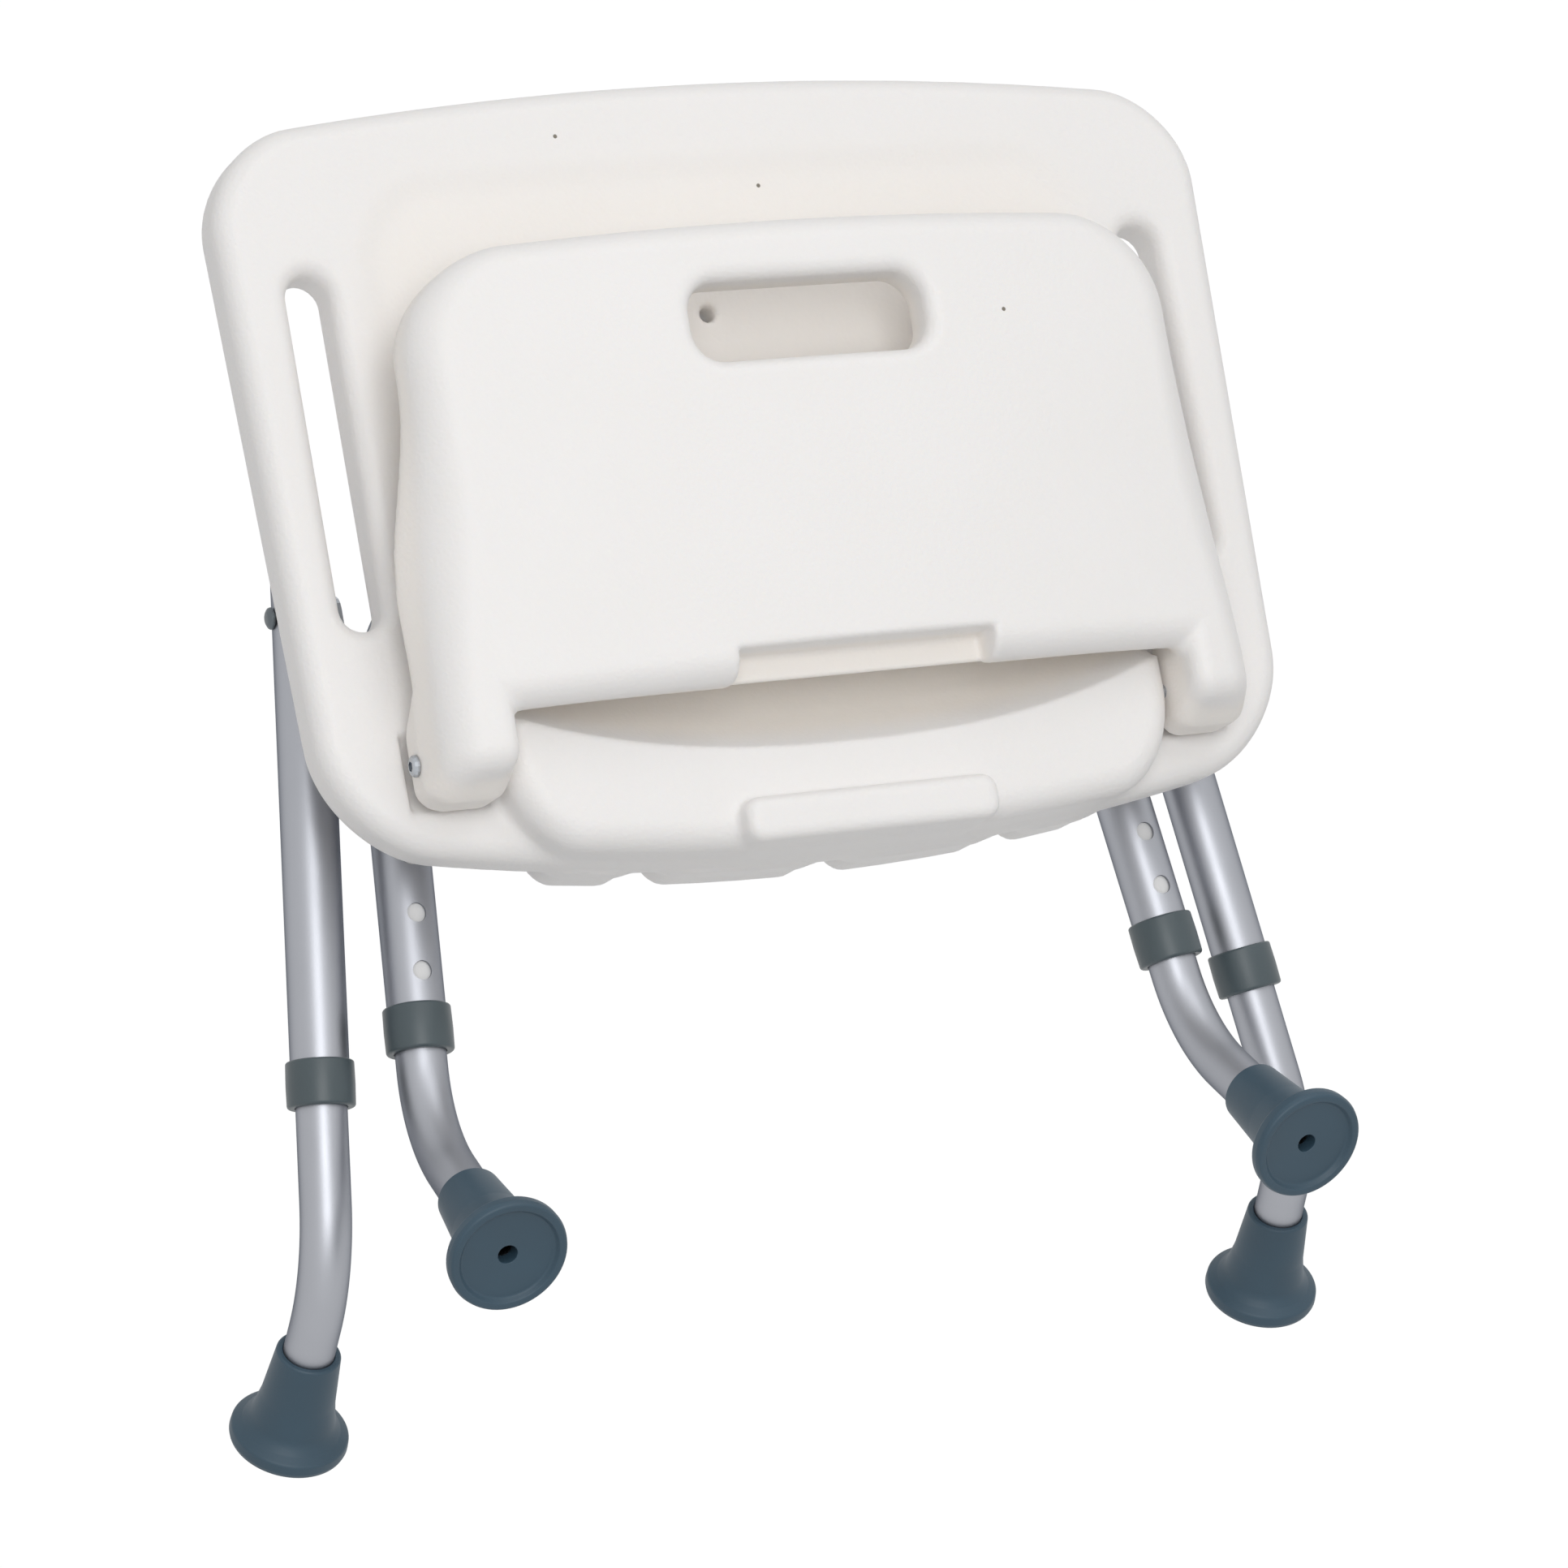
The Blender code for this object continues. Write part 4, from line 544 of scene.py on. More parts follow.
@dataclass(frozen=True)
class BlowMouldedPolyethylene(Finish):
    """High-density polyethylene, blown against a mould with a leather grain: satin, softly translucent.

    The vents are the pin marks of the mould, as places in the model's frame.
    """

    # Painted warm light: a lighter, warmer colour that the sunken places get where shade falls
    warm_light_color: str = "F9F2E9"
    vent: str = "7A7468"
    vent_radius_mm: float = 1.1
    vents: tuple[tuple[float, float], ...] = ()

    def pattern(self, tree: bpy.types.NodeTree) -> bpy.types.NodeSocket:
        """Return the leather grain: small pebbles with creases between them.

        Args:
            tree: The material's tree.

        Returns:
            The socket with the height.
        """
        spot = add_node(tree, "ShaderNodeTexCoord").outputs["Object"]
        scale = 1.0 / (self.grain_mm * MM)
        reach = 1.2 * self.grain_mm * MM
        wander = add_node(tree, "ShaderNodeTexNoise", {"Vector": spot, "Scale": 0.6 * scale, "Detail": 2.0})
        drift = {0: wander.outputs["Color"], "Scale": reach}
        bent = add_node(tree, "ShaderNodeVectorMath", drift, operation="SCALE")
        moved = add_node(tree, "ShaderNodeVectorMath", {0: spot, 1: bent.outputs["Vector"]}, operation="ADD")
        pebbles = {"Vector": moved.outputs["Vector"], "Scale": scale}
        cells = add_node(tree, "ShaderNodeTexVoronoi", pebbles, feature="SMOOTH_F1")
        depth = {0: 1.0, 1: cells.outputs["Distance"]}
        return add_node(tree, "ShaderNodeMath", depth, operation="SUBTRACT").outputs["Value"]

    def vent_dots(self, tree: bpy.types.NodeTree) -> bpy.types.NodeSocket:
        """Return 1 at the small pin marks that the mould's vents leave, and else 0.

        Args:
            tree: The material's tree.

        Returns:
            The socket with the share.
        """
        spot = add_node(tree, "ShaderNodeTexCoord").outputs["Object"]
        level = {0: spot, 1: (1.0, 1.0, 0.0)}
        flat = add_node(tree, "ShaderNodeVectorMath", level, operation="MULTIPLY").outputs[0]
        total = add_node(tree, "ShaderNodeValue").outputs[0]
        total.default_value = 0.0
        radius = self.vent_radius_mm * MM
        for x, y in self.vents:
            far = add_node(tree, "ShaderNodeVectorMath", {0: flat, 1: (x, y, 0.0)}, operation="DISTANCE")
            edge = {"Value": far.outputs["Value"], "From Min": radius, "From Max": 0.7 * radius}
            dot = add_node(tree, "ShaderNodeMapRange", edge).outputs["Result"]
            total = add_node(tree, "ShaderNodeMath", {0: total, 1: dot}, operation="MAXIMUM").outputs[0]
        return total

    def add_own(self, tree: bpy.types.NodeTree, shader: bpy.types.Node) -> None:
        """Paint warm light into the shells' sunken places, a lighter and warmer colour where shade falls, and let
        a little light through the wall.

        Args:
            tree: The material's tree.
            shader: Its shader.
        """
        base = shader.inputs["Base Color"].links[0].from_socket
        # The share of painted warm light that the shells store on each point
        painted_warm_light = add_node(tree, "ShaderNodeAttribute", attribute_name="painted_warm_light").outputs["Fac"]
        warm_light_mix = {0: painted_warm_light, 6: base, 7: linear(self.warm_light_color)}
        warm_lit = add_node(tree, "ShaderNodeMix", warm_light_mix, data_type="RGBA")
        marks = {0: self.vent_dots(tree), 6: warm_lit.outputs[2], 7: linear(self.vent)}
        dotted = add_node(tree, "ShaderNodeMix", marks, data_type="RGBA")
        tree.links.new(dotted.outputs[2], shader.inputs["Base Color"])
        shader.inputs["Subsurface Weight"].default_value = 0.12
        shader.inputs["Subsurface Radius"].default_value = (1.0, 0.8, 0.6)
        shader.inputs["Subsurface Scale"].default_value = 2.5 * MM
        shader.inputs["Specular IOR Level"].default_value = 0.42


@dataclass(frozen=True)
class AnodisedAluminium(Finish):
    """Drawn aluminium tube, etched and anodised clear: silky, with a soft highlight and painted shade on its
    edges.
    """

    # Painted shade: a dark tint of the reflection at the tube's edges
    painted_edge_shade: str = "5C646C"

    def add_own(self, tree: bpy.types.NodeTree, shader: bpy.types.Node) -> None:
        """Dim the reflection at the edges, where it is seen at a slant: painted shade for the dark surroundings
        that the tube reflects.
        """
        shader.inputs["Specular Tint"].default_value = linear(self.painted_edge_shade)


@dataclass(frozen=True)
class MouldedRubber(Finish):
    """Thermoplastic rubber, moulded: matt, with a soft sheen on its edges."""


@dataclass(frozen=True)
class MouldedPlastic(Finish):
    """Polypropylene or nylon, moulded in a plain steel mould: even colour, satin highlights."""


@dataclass(frozen=True)
class BareMetal(Finish):
    """Metal as it leaves the shop, plated, tumbled or rubbed bright by sliding: clear, narrow highlights. The
    rivet's dark grey is partly painted shade.
    """

    metallic: float = 1.0


class Palette:
    """The chair's finishes, built once."""

    vents = ((-75.9, 295.1), (17.0, 268.3), (91.8, 187.0))

    def __init__(self, stand: Stand) -> None:
        """Build every material.

        Args:
            stand: Where the seat stands, for the marks on the shells.
        """
        self.shell = BlowMouldedPolyethylene(
            "blow_moulded_polyethylene",
            "F2F0EF",
            "EFEDEB",
            0.5,
            grain_mm=1.9,
            bump_mm=0.15,
            mottle_mm=60.0,
            vents=tuple(tuple(stand.place((x, y, 0.0)))[:2] for x, y in self.vents),
        ).build()
        self.tube = AnodisedAluminium(
            "clear_anodised_aluminium", "AFB1B7", "A7A9AF", 0.46, metallic=1.0, grain_mm=0.5, bump_mm=0.004
        ).build()
        self.collar = MouldedPlastic(
            "moulded_grey_green_polypropylene", "4C585D", "434E52", 0.42, grain_mm=1.5
        ).build()
        self.rubber = MouldedRubber("moulded_slate_rubber", "375060", "304654", 0.5, grain_mm=0.8).build()
        self.burnished = BareMetal("burnished_aluminium", "DCDDE1", "D4D5DA", 0.38, bump_mm=0.002).build()
        # The rivet's colour is steel grey darkened with painted shade: the shade under the seat's rim that it
        # reflects
        self.rivet = BareMetal("steel_rivet_darkened_by_painted_shade", "6E7478", "5E6468", 0.42, bump_mm=0.005).build()
        self.zinc = BareMetal("zinc_plated_steel", "BDC1C6", "A3A8AE", 0.3, bump_mm=0.005).build()
        self.nylon = MouldedPlastic("natural_nylon", "E6E2D8", "DCD8CE", 0.45).build()
        self.clamp = MouldedPlastic("glass_filled_nylon", "8E9296", "82868A", 0.5, grain_mm=0.7).build()


# The blow-moulded shells


@dataclass
class Shell:
    """A blow-moulded shell that is given as a function of distance."""

    stand: Stand
    finish: bpy.types.Material
    step: float = 2.1

    def wrap(
        self, name: str, low: Sequence[float], high: Sequence[float], distance: Distance
    ) -> bpy.types.Object:
        """Turn the distance into a smooth mesh.

        Args:
            name: The object's name.
            low: The lowest corner of a box round the shell.
            high: The highest corner.
            distance: The shell's function of distance.

        Returns:
            The new object.
        """
        corner = np.array(low, float)
        counts = [int(math.ceil((b - a) / self.step)) + 1 for a, b in zip(low, high)]
        axes = [corner[i] + self.step * np.arange(counts[i]) for i in range(3)]
        x, y, z = axes[0][:, None, None], axes[1][None, :, None], axes[2][None, None, :]
        points, quads = skin(distance(x, y, z), corner, self.step)
        points = settle(points, distance)
        piece = self.stand.mesh(name, points, quads, self.finish)
        self.paint_warm_light(piece, points)
        return piece

    def paint_warm_light(self, piece: bpy.types.Object, points: np.ndarray) -> None:
        """Store each point's share of the painted warm light, for the finish."""
        shade = piece.data.attributes.new("painted_warm_light", "FLOAT", "POINT")
        shade.data.foreach_set("value", self.painted_warm_light(*points.T).astype(np.float32))

    def painted_warm_light(self, x: np.ndarray, y: np.ndarray, z: np.ndarray) -> np.ndarray:
        """Return the share of the painted warm light at each point."""
        return np.zeros_like(x + y + z)


@dataclass
class Seat(Shell):
    """The seat: a dished slab with grip slots, a raised rear block, a back stop and pads below."""

    # The slab
    half_front: float = 238.0
    half_rear: float = 228.5
    front_y: float = 301.5
    rear_y: float = -6.0
    front_bow: float = 17.0
    rear_bow: float = 26.0
    front_corner: float = 41.0
    rear_corner: float = 46.0
    thickness: float = 27.0
    top_radius: float = 10.0
    bottom_radius: float = 7.0

    # The shallow dish
    dish_margin: float = 28.0
    dish_half: float = 172.0
    dish_rear_y: float = 66.0
    dish_rear_corner: float = 30.0
    dish_front_corner: float = 34.0
    dish_depth: float = 1.6
    dish_step: float = 15.0

    # The grip slots and the drain
    slot_x: float = 199.8
    slot_y: float = 162.2
    slot_width: float = 19.6
    slot_length: float = 155.6
    slot_radius: float = 8.0
    drain: tuple[float, float] = (-18.0, 211.5)
    drain_bore: float = 3.5
    drain_edge: float = 3.0

    # The raised block, with the scoop in its front
    block_half: float = 158.5
    block_height: float = 25.0
    block_radius: float = 12.0
    block_rear_corner: float = 32.0
    block_front_corner: float = 18.0
    block_inset: float = 1.0
    block_front: float = 62.0
    scoop_y: float = 11.0
    scoop_bow: float = 26.5
    scoop_power: float = 2.4
    scoop_length: float = 38.0

    # The tab that stops the raised backrest
    stop_half: float = 59.5
    stop_y: tuple[float, float] = (-30.0, -10.5)
    stop_corner: float = 7.0
    stop_height: float = 37.0
    stop_radius: float = 5.0
    stop_fillet: float = 2.5
    stop_root: float = -10.0

    # The pads below
    pad_edges: tuple[float, ...] = (-138.0, -86.0, 0.0, 86.0, 138.0)
    pad_front: float = 78.0
    pad_inset: float = -1.5
    pad_corner: float = 13.0
    pad_radius: float = 9.0
    pad_drop: float = 21.0
    pad_groove: float = 3.0

    # Where block and pads grow out of the slab, and the round pockets of the lugs
    root: float = -14.0
    root_fillet: float = 4.0
    pocket_outer: float = 194.6
    pocket_radius: float = 22.6
    pocket_edge: float = 1.5

    # The painted warm light in the dish under the backrest and in the scoop, where shade falls
    dish_tint: float = 0.35
    dish_fade: float = 40.0
    scoop_tint: float = 0.8
    scoop_rear_fade: float = 14.0
    scoop_side_fade: float = 8.0
    scoop_front_fade: float = 12.0
    scoop_end: float = 90.0
    warm_light_floor: float = -12.0

    def bowed(self, outline: np.ndarray) -> np.ndarray:
        """Push the points near the front and rear edges out by the edges' bows.

        Args:
            outline: The outline's points.

        Returns:
            The moved points.
        """
        x, y = outline.T
        front = np.clip((y - self.front_y + self.front_corner) / self.front_corner, 0.0, None)
        rear = np.clip((self.rear_y + self.rear_corner - y) / self.rear_corner, 0.0, None)
        shifted = y + self.front_bow * (1.0 - (x / self.half_front) ** 2) * front
        shifted -= self.rear_bow * (1.0 - (x / self.half_rear) ** 2) * rear
        return np.stack((x, shifted), axis=1)

    def rim(self) -> np.ndarray:
        """Return the seat's outline.

        Returns:
            The outline's points.
        """
        corners = [
            (-self.half_rear, self.rear_y, self.rear_corner),
            (self.half_rear, self.rear_y, self.rear_corner),
            (self.half_front, self.front_y, self.front_corner),
            (-self.half_front, self.front_y, self.front_corner),
        ]
        return self.bowed(split_long(rounded(corners, step=4.0), longest=12.0))

    def dish_outline(self) -> np.ndarray:
        """Return the outline of the shallow dish under the backrest.

        Returns:
            The outline's points.
        """
        low = (-self.dish_half, self.dish_rear_y)
        high = (self.dish_half, self.front_y - self.dish_margin)
        corners = rectangle(low, high, self.dish_rear_corner, self.dish_front_corner)
        return self.bowed(split_long(rounded(corners), longest=14.0))

    def along_edge(self, outline: np.ndarray, front: float, inset: float) -> np.ndarray:
        """Bow an outline that starts at y 0 so that its rear side follows the seat's rear edge.

        Args:
            outline: The outline's points.
            front: The outline's highest y.
            inset: How far its rear side stays inside the seat's edge.

        Returns:
            The moved points.
        """
        x, y = outline.T
        rear = self.rear_y - self.rear_bow * (1.0 - (x / self.half_rear) ** 2) + inset
        return np.stack((x, y + rear * (1.0 - y / front)), axis=1)

    def block_outline(self) -> np.ndarray:
        """Return the outline of the raised block, bowed like the rear edge.

        Returns:
            The outline's points.
        """
        low, high = (-self.block_half, 0.0), (self.block_half, self.block_front)
        corners = rectangle(low, high, self.block_rear_corner, self.block_front_corner)
        outline = split_long(rounded(corners), longest=10.0)
        return self.along_edge(outline, self.block_front, self.block_inset)

    def pad_outline(self, start: float, stop: float) -> np.ndarray:
        """Return the outline of one pad of the underside.

        Args:
            start: The X of the middle of the groove on its left.
            stop: The X of the middle of the groove on its right.

        Returns:
            The outline's points.
        """
        low, high = (start + self.pad_groove, 0.0), (stop - self.pad_groove, self.pad_front)
        corners = rectangle(low, high, self.pad_corner, self.pad_corner)
        outline = split_long(rounded(corners, step=9.0), longest=20.0)
        return self.along_edge(outline, self.pad_front, self.pad_inset)

    def scoop_edge(self, x: np.ndarray) -> np.ndarray:
        """Return where the block's top starts to fall towards the front."""
        return self.scoop_y + self.scoop_bow * np.abs(x / self.block_half) ** self.scoop_power

    def block_top(self, x: np.ndarray, y: np.ndarray) -> tuple[np.ndarray, np.ndarray]:
        """Return the height of the block's top, hollowed towards the front, and its slope.

        Args:
            x: First coordinates.
            y: Second coordinates.

        Returns:
            The heights and the slopes along Y.
        """
        edge = self.scoop_edge(x)
        s = np.clip((y - edge) / self.scoop_length, 0.0, 1.0)
        floor = -0.5 * self.dish_depth
        fall = self.block_height - floor
        slope = 2.0 * fall * (1.0 - s) / self.scoop_length * (y > edge)
        return floor + fall * (1.0 - s) ** 2, slope

    def build(self) -> bpy.types.Object:
        """Build the seat's mesh.

        Returns:
            The seat.
        """
        self.rim_points = self.rim()
        self.dish_points = self.dish_outline()
        self.block_points = self.block_outline()
        self.pad_points = [self.pad_outline(*ends) for ends in zip(self.pad_edges, self.pad_edges[1:])]
        across, along = 0.5 * self.slot_width, 0.5 * self.slot_length
        full_round = 0.499 * self.slot_width
        corners = rectangle((-across, -along), (across, along), full_round, full_round)
        self.slot_points = rounded(corners, step=8.0)
        room, room_z = 8.0, 7.0
        low_z = -self.thickness - self.pad_drop - room_z
        low = (-self.half_front - room, self.rear_y - self.rear_bow - room, low_z)
        high = (self.half_front + room, self.front_y + self.front_bow + room, self.stop_height + room_z)
        return self.wrap("moulded_seat", low, high, self.distance)

    def distance(self, x: np.ndarray, y: np.ndarray, z: np.ndarray) -> np.ndarray:
        """Return the distance to the seat's surface, negative inside the plastic.

        Args:
            x: First coordinates.
            y: Second coordinates.
            z: Third coordinates.

        Returns:
            The distances.
        """
        dish = outline_distance(self.dish_points, x, y)
        sunk = self.dish_depth * ease(0.5 - dish / self.dish_step)
        form = meet(outline_distance(self.rim_points, x, y), z + sunk, self.top_radius)
        form = meet(form, -self.thickness - z, self.bottom_radius)
        for outline in self.pad_points:
            pad = meet(outline_distance(outline, x, y), -self.thickness - self.pad_drop - z, self.pad_radius)
            form = join(form, np.maximum(pad, z - self.root), self.root_fillet)
        top, slope = self.block_top(x, y)
        above = (z - top) / np.sqrt(1.0 + slope**2)
        block = meet(outline_distance(self.block_points, x, y), above, self.block_radius)
        form = join(form, np.maximum(block, self.root - z), self.root_fillet)
        stop = meet(self.stop_plan(x, y), z - self.stop_height, self.stop_radius)
        form = join(form, np.maximum(stop, self.stop_root - z), self.stop_fillet)
        slot = outline_distance(self.slot_points, np.abs(x) - self.slot_x, y - self.slot_y)
        form = meet(form, -slot, self.slot_radius)
        form = meet(form, -self.pocket(x, y, z), self.pocket_edge)
        drain = np.hypot(x - self.drain[0], y - self.drain[1])
        return meet(form, self.drain_bore - drain, self.drain_edge)

    def stop_plan(self, x: np.ndarray, y: np.ndarray) -> np.ndarray:
        """Return the distance to the stop's rounded rectangle in plan.

        Args:
            x: First coordinates.
            y: Second coordinates.

        Returns:
            The distances.
        """
        low, high = self.stop_y
        reach_x = np.abs(x) - self.stop_half + self.stop_corner
        reach_y = np.abs(y - 0.5 * (low + high)) - 0.5 * (high - low) + self.stop_corner
        outside = np.hypot(np.maximum(reach_x, 0.0), np.maximum(reach_y, 0.0))
        return outside + np.minimum(np.maximum(reach_x, reach_y), 0.0) - self.stop_corner

    def pocket(self, x: np.ndarray, y: np.ndarray, z: np.ndarray) -> np.ndarray:
        """Return the distance to the round pockets that the backrest's lugs turn in.

        Args:
            x: First coordinates.
            y: Second coordinates.
            z: Third coordinates.

        Returns:
            The distances.
        """
        round_axis = np.hypot(y - Backrest.pivot_y, z - Backrest.pivot_z) - self.pocket_radius
        middle = 0.5 * (self.block_half + self.pocket_outer)
        half_width = 0.5 * (self.pocket_outer - self.block_half)
        return np.maximum(round_axis, np.abs(np.abs(x) - middle) - half_width)

    def painted_warm_light(self, x: np.ndarray, y: np.ndarray, z: np.ndarray) -> np.ndarray:
        """Return the painted warm light: in the dish and in the scoop before the block.

        Args:
            x: First coordinates.
            y: Second coordinates.
            z: Third coordinates.

        Returns:
            The share of the painted warm light, 0 to 1.
        """
        dish = self.dish_tint * ease(0.5 - outline_distance(self.dish_points, x, y) / self.dish_fade)
        scoop = ease((y - self.scoop_edge(x)) / self.scoop_rear_fade)
        scoop = scoop * ease((self.block_half - np.abs(x)) / self.scoop_side_fade)
        scoop = scoop * ease((self.scoop_end - y) / self.scoop_front_fade)
        return np.clip(np.maximum(dish, self.scoop_tint * scoop), 0.0, 1.0) * (z > self.warm_light_floor)


@dataclass
class Backrest(Shell):
    """The backrest, folded down: an arched panel with a hand slot, a notch and two lugs."""

    # The panel
    step: float = 1.7
    pivot_y: float = 21.0
    pivot_z: float = 14.0
    face: float = 60.8
    rise: float = 0.022
    thickness: float = 26.0
    face_radius: float = 12.5
    inner_radius: float = 8.5
    arch_span: float = 180.0
    arch: tuple[float, float] = (14.0, 10.0)
    arch_y: tuple[float, float] = (70.0, 200.0)
    top_half: float = 176.5
    lower_y: float = 35.5
    top_y: float = 230.5
    top_bow: float = 4.5
    top_corner: float = 44.0

    # Its sides, which swell and flare towards the lugs
    flare: tuple[float, float] = (25.0, 135.0)
    draft: float = 7.0
    swell: float = 8.0
    swell_y: tuple[float, float] = (40.0, 180.0)
    side_strip: float = 37.0

    # The hand slot, and the notch for the seat's stop
    slot_y: float = 190.5
    slot_half: tuple[float, float] = (55.5, 17.5)
    slot_corner: float = 13.5
    slot_radius: float = 7.0
    notch_half: float = 60.2
    notch_y: float = 48.5
    notch_floor: float = 40.0
    notch_corner: float = 2.0
    notch_edge: float = 2.5

    # The lugs round the hinge
    lug_half: float = 187.5
    lug_inner: float = 159.2
    lug_inner_radius: float = 9.0
    swing: float = 20.6
    lug_rear: tuple[float, float] = (2.0, 9.2)
    lug_rear_fillet: float = 8.0
    lug_radius: float = 12.0
    lug_low_z: float = 0.6
    lug_low_radius: float = 7.0
    lug_nose: tuple[float, float] = (41.0, 3.4)
    lug_nose_radius: float = 7.0
    lug_front_y: float = 82.0
    lug_fillet: float = 6.0
    lug_fillet_depth: float = 10.0

    # The painted warm light below the outer face, where shade falls
    tint: float = 0.5
    warm_light_start: float = 8.0
    warm_light_fade: float = 10.0

    def half_width(self, y: np.ndarray) -> np.ndarray:
        """Return the outer face's half-width, flared towards the lugs."""
        start, stop = self.flare
        return self.lug_half + (self.top_half - self.lug_half) * half_wave((y - start) / (stop - start))

    def side_draft(self, y: np.ndarray) -> np.ndarray:
        """Return how much further out the sides stand at the inner face than at the outer one.

        Args:
            y: The coordinates along the side.

        Returns:
            The draft at each.
        """
        start, stop = self.swell_y
        along = np.clip((y - start) / (stop - start), 0.0, 1.0)
        return self.draft + self.swell * np.sin(math.pi * along) ** 2

    def outline(self) -> np.ndarray:
        """Return the outer face's outline.

        Returns:
            The outline's points.
        """
        flare_points = 16
        stops = np.linspace(self.lower_y, self.flare[1], flare_points)
        half = [(float(self.half_width(y)), float(y), 0.0) for y in stops]
        points = half + [(self.top_half, self.top_y, self.top_corner)]
        mirrored = [(-a, b, r) for a, b, r in reversed(points)]
        x, y = split_long(rounded(points + mirrored, step=4.0), longest=12.0).T
        reach = np.clip((y - self.top_y + self.top_corner) / self.top_corner, 0.0, 1.0)
        return np.stack((x, y + self.top_bow * reach * (1.0 - (x / self.top_half) ** 2)), axis=1)

    def arch_drop(self, y: np.ndarray) -> np.ndarray:
        """Return how far the outer face has dropped at the arch's half-span."""
        start, stop = self.arch_y
        return self.arch[0] + (self.arch[1] - self.arch[0]) * half_wave((y - start) / (stop - start))

    def top(self, x: np.ndarray, y: np.ndarray) -> np.ndarray:
        """Return the height of the outer face, arched from side to side."""
        return self.face + self.rise * (y - self.lower_y) - self.arch_drop(y) * (x / self.arch_span) ** 2

    def bottom(self, x: np.ndarray, y: np.ndarray) -> np.ndarray:
        """Return the height of the inner face, which is flat but for its sides."""
        middle = self.face - self.thickness + self.rise * (y - self.lower_y)
        return middle - self.arch_drop(y) * np.abs(x / self.arch_span) ** 6

    def build(self) -> bpy.types.Object:
        """Build the backrest's mesh.

        Returns:
            The backrest.
        """
        self.plan = self.outline()
        half, rise = self.slot_half
        corners = rectangle((-half, -rise), (half, rise), self.slot_corner, self.slot_corner)
        self.slot_points = rounded(corners, step=8.0)
        room, room_y, room_z = 7.0, 6.0, 12.0
        reach = self.lug_half + self.draft + room
        low = (-reach, -room_y, -room)
        high = (reach, self.top_y + self.top_bow + room_y, self.face + room_z)
        return self.wrap("moulded_backrest", low, high, self.distance)

    def distance(self, x: np.ndarray, y: np.ndarray, z: np.ndarray) -> np.ndarray:
        """Return the distance to the backrest's surface, negative inside the plastic.

        Args:
            x: First coordinates.
            y: Second coordinates.
            z: Third coordinates.

        Returns:
            The distances.
        """
        top = z - self.top(x, y)
        push = self.side_draft(y) * np.clip(-top / self.thickness, 0.0, 1.0)
        beyond = np.abs(x) - self.half_width(y) - push
        plan = outline_distance(self.plan, np.abs(x) - push * half_wave(1.0 + beyond / self.side_strip), y)
        form = meet(meet(plan, top, self.face_radius), self.bottom(x, y) - z, self.inner_radius)
        skin_depth = meet(beyond, top, self.face_radius)
        fillet = self.lug_fillet * np.clip(-skin_depth / self.lug_fillet_depth, 0.0, 1.0)
        form = join(form, self.lug(x, y, z, skin_depth), fillet)
        notch = np.maximum(np.abs(x) - self.notch_half, y - self.notch_y)
        notch = meet(notch, self.notch_floor - z, self.notch_corner)
        form = meet(form, -notch, self.notch_edge)
        slot = outline_distance(self.slot_points, x, y - self.slot_y)
        return meet(form, -slot, self.slot_radius)

    def lug(self, x: np.ndarray, y: np.ndarray, z: np.ndarray, skin_depth: np.ndarray) -> np.ndarray:
        """Return the distance to the two lugs, which wrap round the hinge's axis.

        Args:
            x: First coordinates.
            y: Second coordinates.
            z: Third coordinates.
            skin_depth: Distances to the outer face and the sides, which the lugs share with the panel.

        Returns:
            The distances, negative inside a lug.
        """
        rear_y, clear_y = self.lug_rear
        turn = np.hypot(y - self.pivot_y, z - self.pivot_z) - self.swing
        rear = join(np.maximum(turn, rear_y - y), clear_y - y, self.lug_rear_fillet)
        form = meet(skin_depth, rear, self.lug_radius)
        form = meet(form, self.lug_low_z - z, self.lug_low_radius)
        nose_y, nose_z = self.lug_nose
        nose = ((y - nose_y) - (z - nose_z)) * math.sqrt(0.5)
        form = np.maximum(meet(form, nose, self.lug_nose_radius), y - self.lug_front_y)
        return meet(form, self.lug_inner - np.abs(x), self.lug_inner_radius)

    def painted_warm_light(self, x: np.ndarray, y: np.ndarray, z: np.ndarray) -> np.ndarray:
        """Return the painted warm light: only inside the hand slot and on the inner face."""
        return self.tint * ease((self.top(x, y) - z - self.warm_light_start) / self.warm_light_fade)


# Tubes, collars and feet


@dataclass(frozen=True)
class LegForm:
    """What the two legs of a pair share, in millimetres of the seat's frame, degrees and shares.

    The collar and the top are the upper tube's ends on the right side. The knee is the way from the
    collar to the corner of the bend, and the shin the way from there to the sole. The rise is 1 where
    the foot and the holes turn up and -1 where they turn down. The lower tube is drawn out by a number
    of holes.
    """

    collar: tuple[float, float, float]
    top: tuple[float, float, float]
    knee: float
    shin: float
    foot_angle: float
    splay: float
    rise: float
    drawn_out: int


LEG_FORMS = {
    Pair.FRONT: LegForm(
        collar=(181.8, -77.0, -69.4),
        top=(162.3, 130.0, -79.6),
        knee=45.9,
        shin=100.6,
        foot_angle=50.4,
        splay=0.034,
        rise=1.0,
        drawn_out=0,
    ),
    Pair.REAR: LegForm(
        collar=(225.4, -93.5, -80.8),
        top=(200.4, 109.6, -76.2),
        knee=80.5,
        shin=93.6,
        foot_angle=49.3,
        splay=0.06,
        rise=-1.0,
        drawn_out=1,
    ),
}


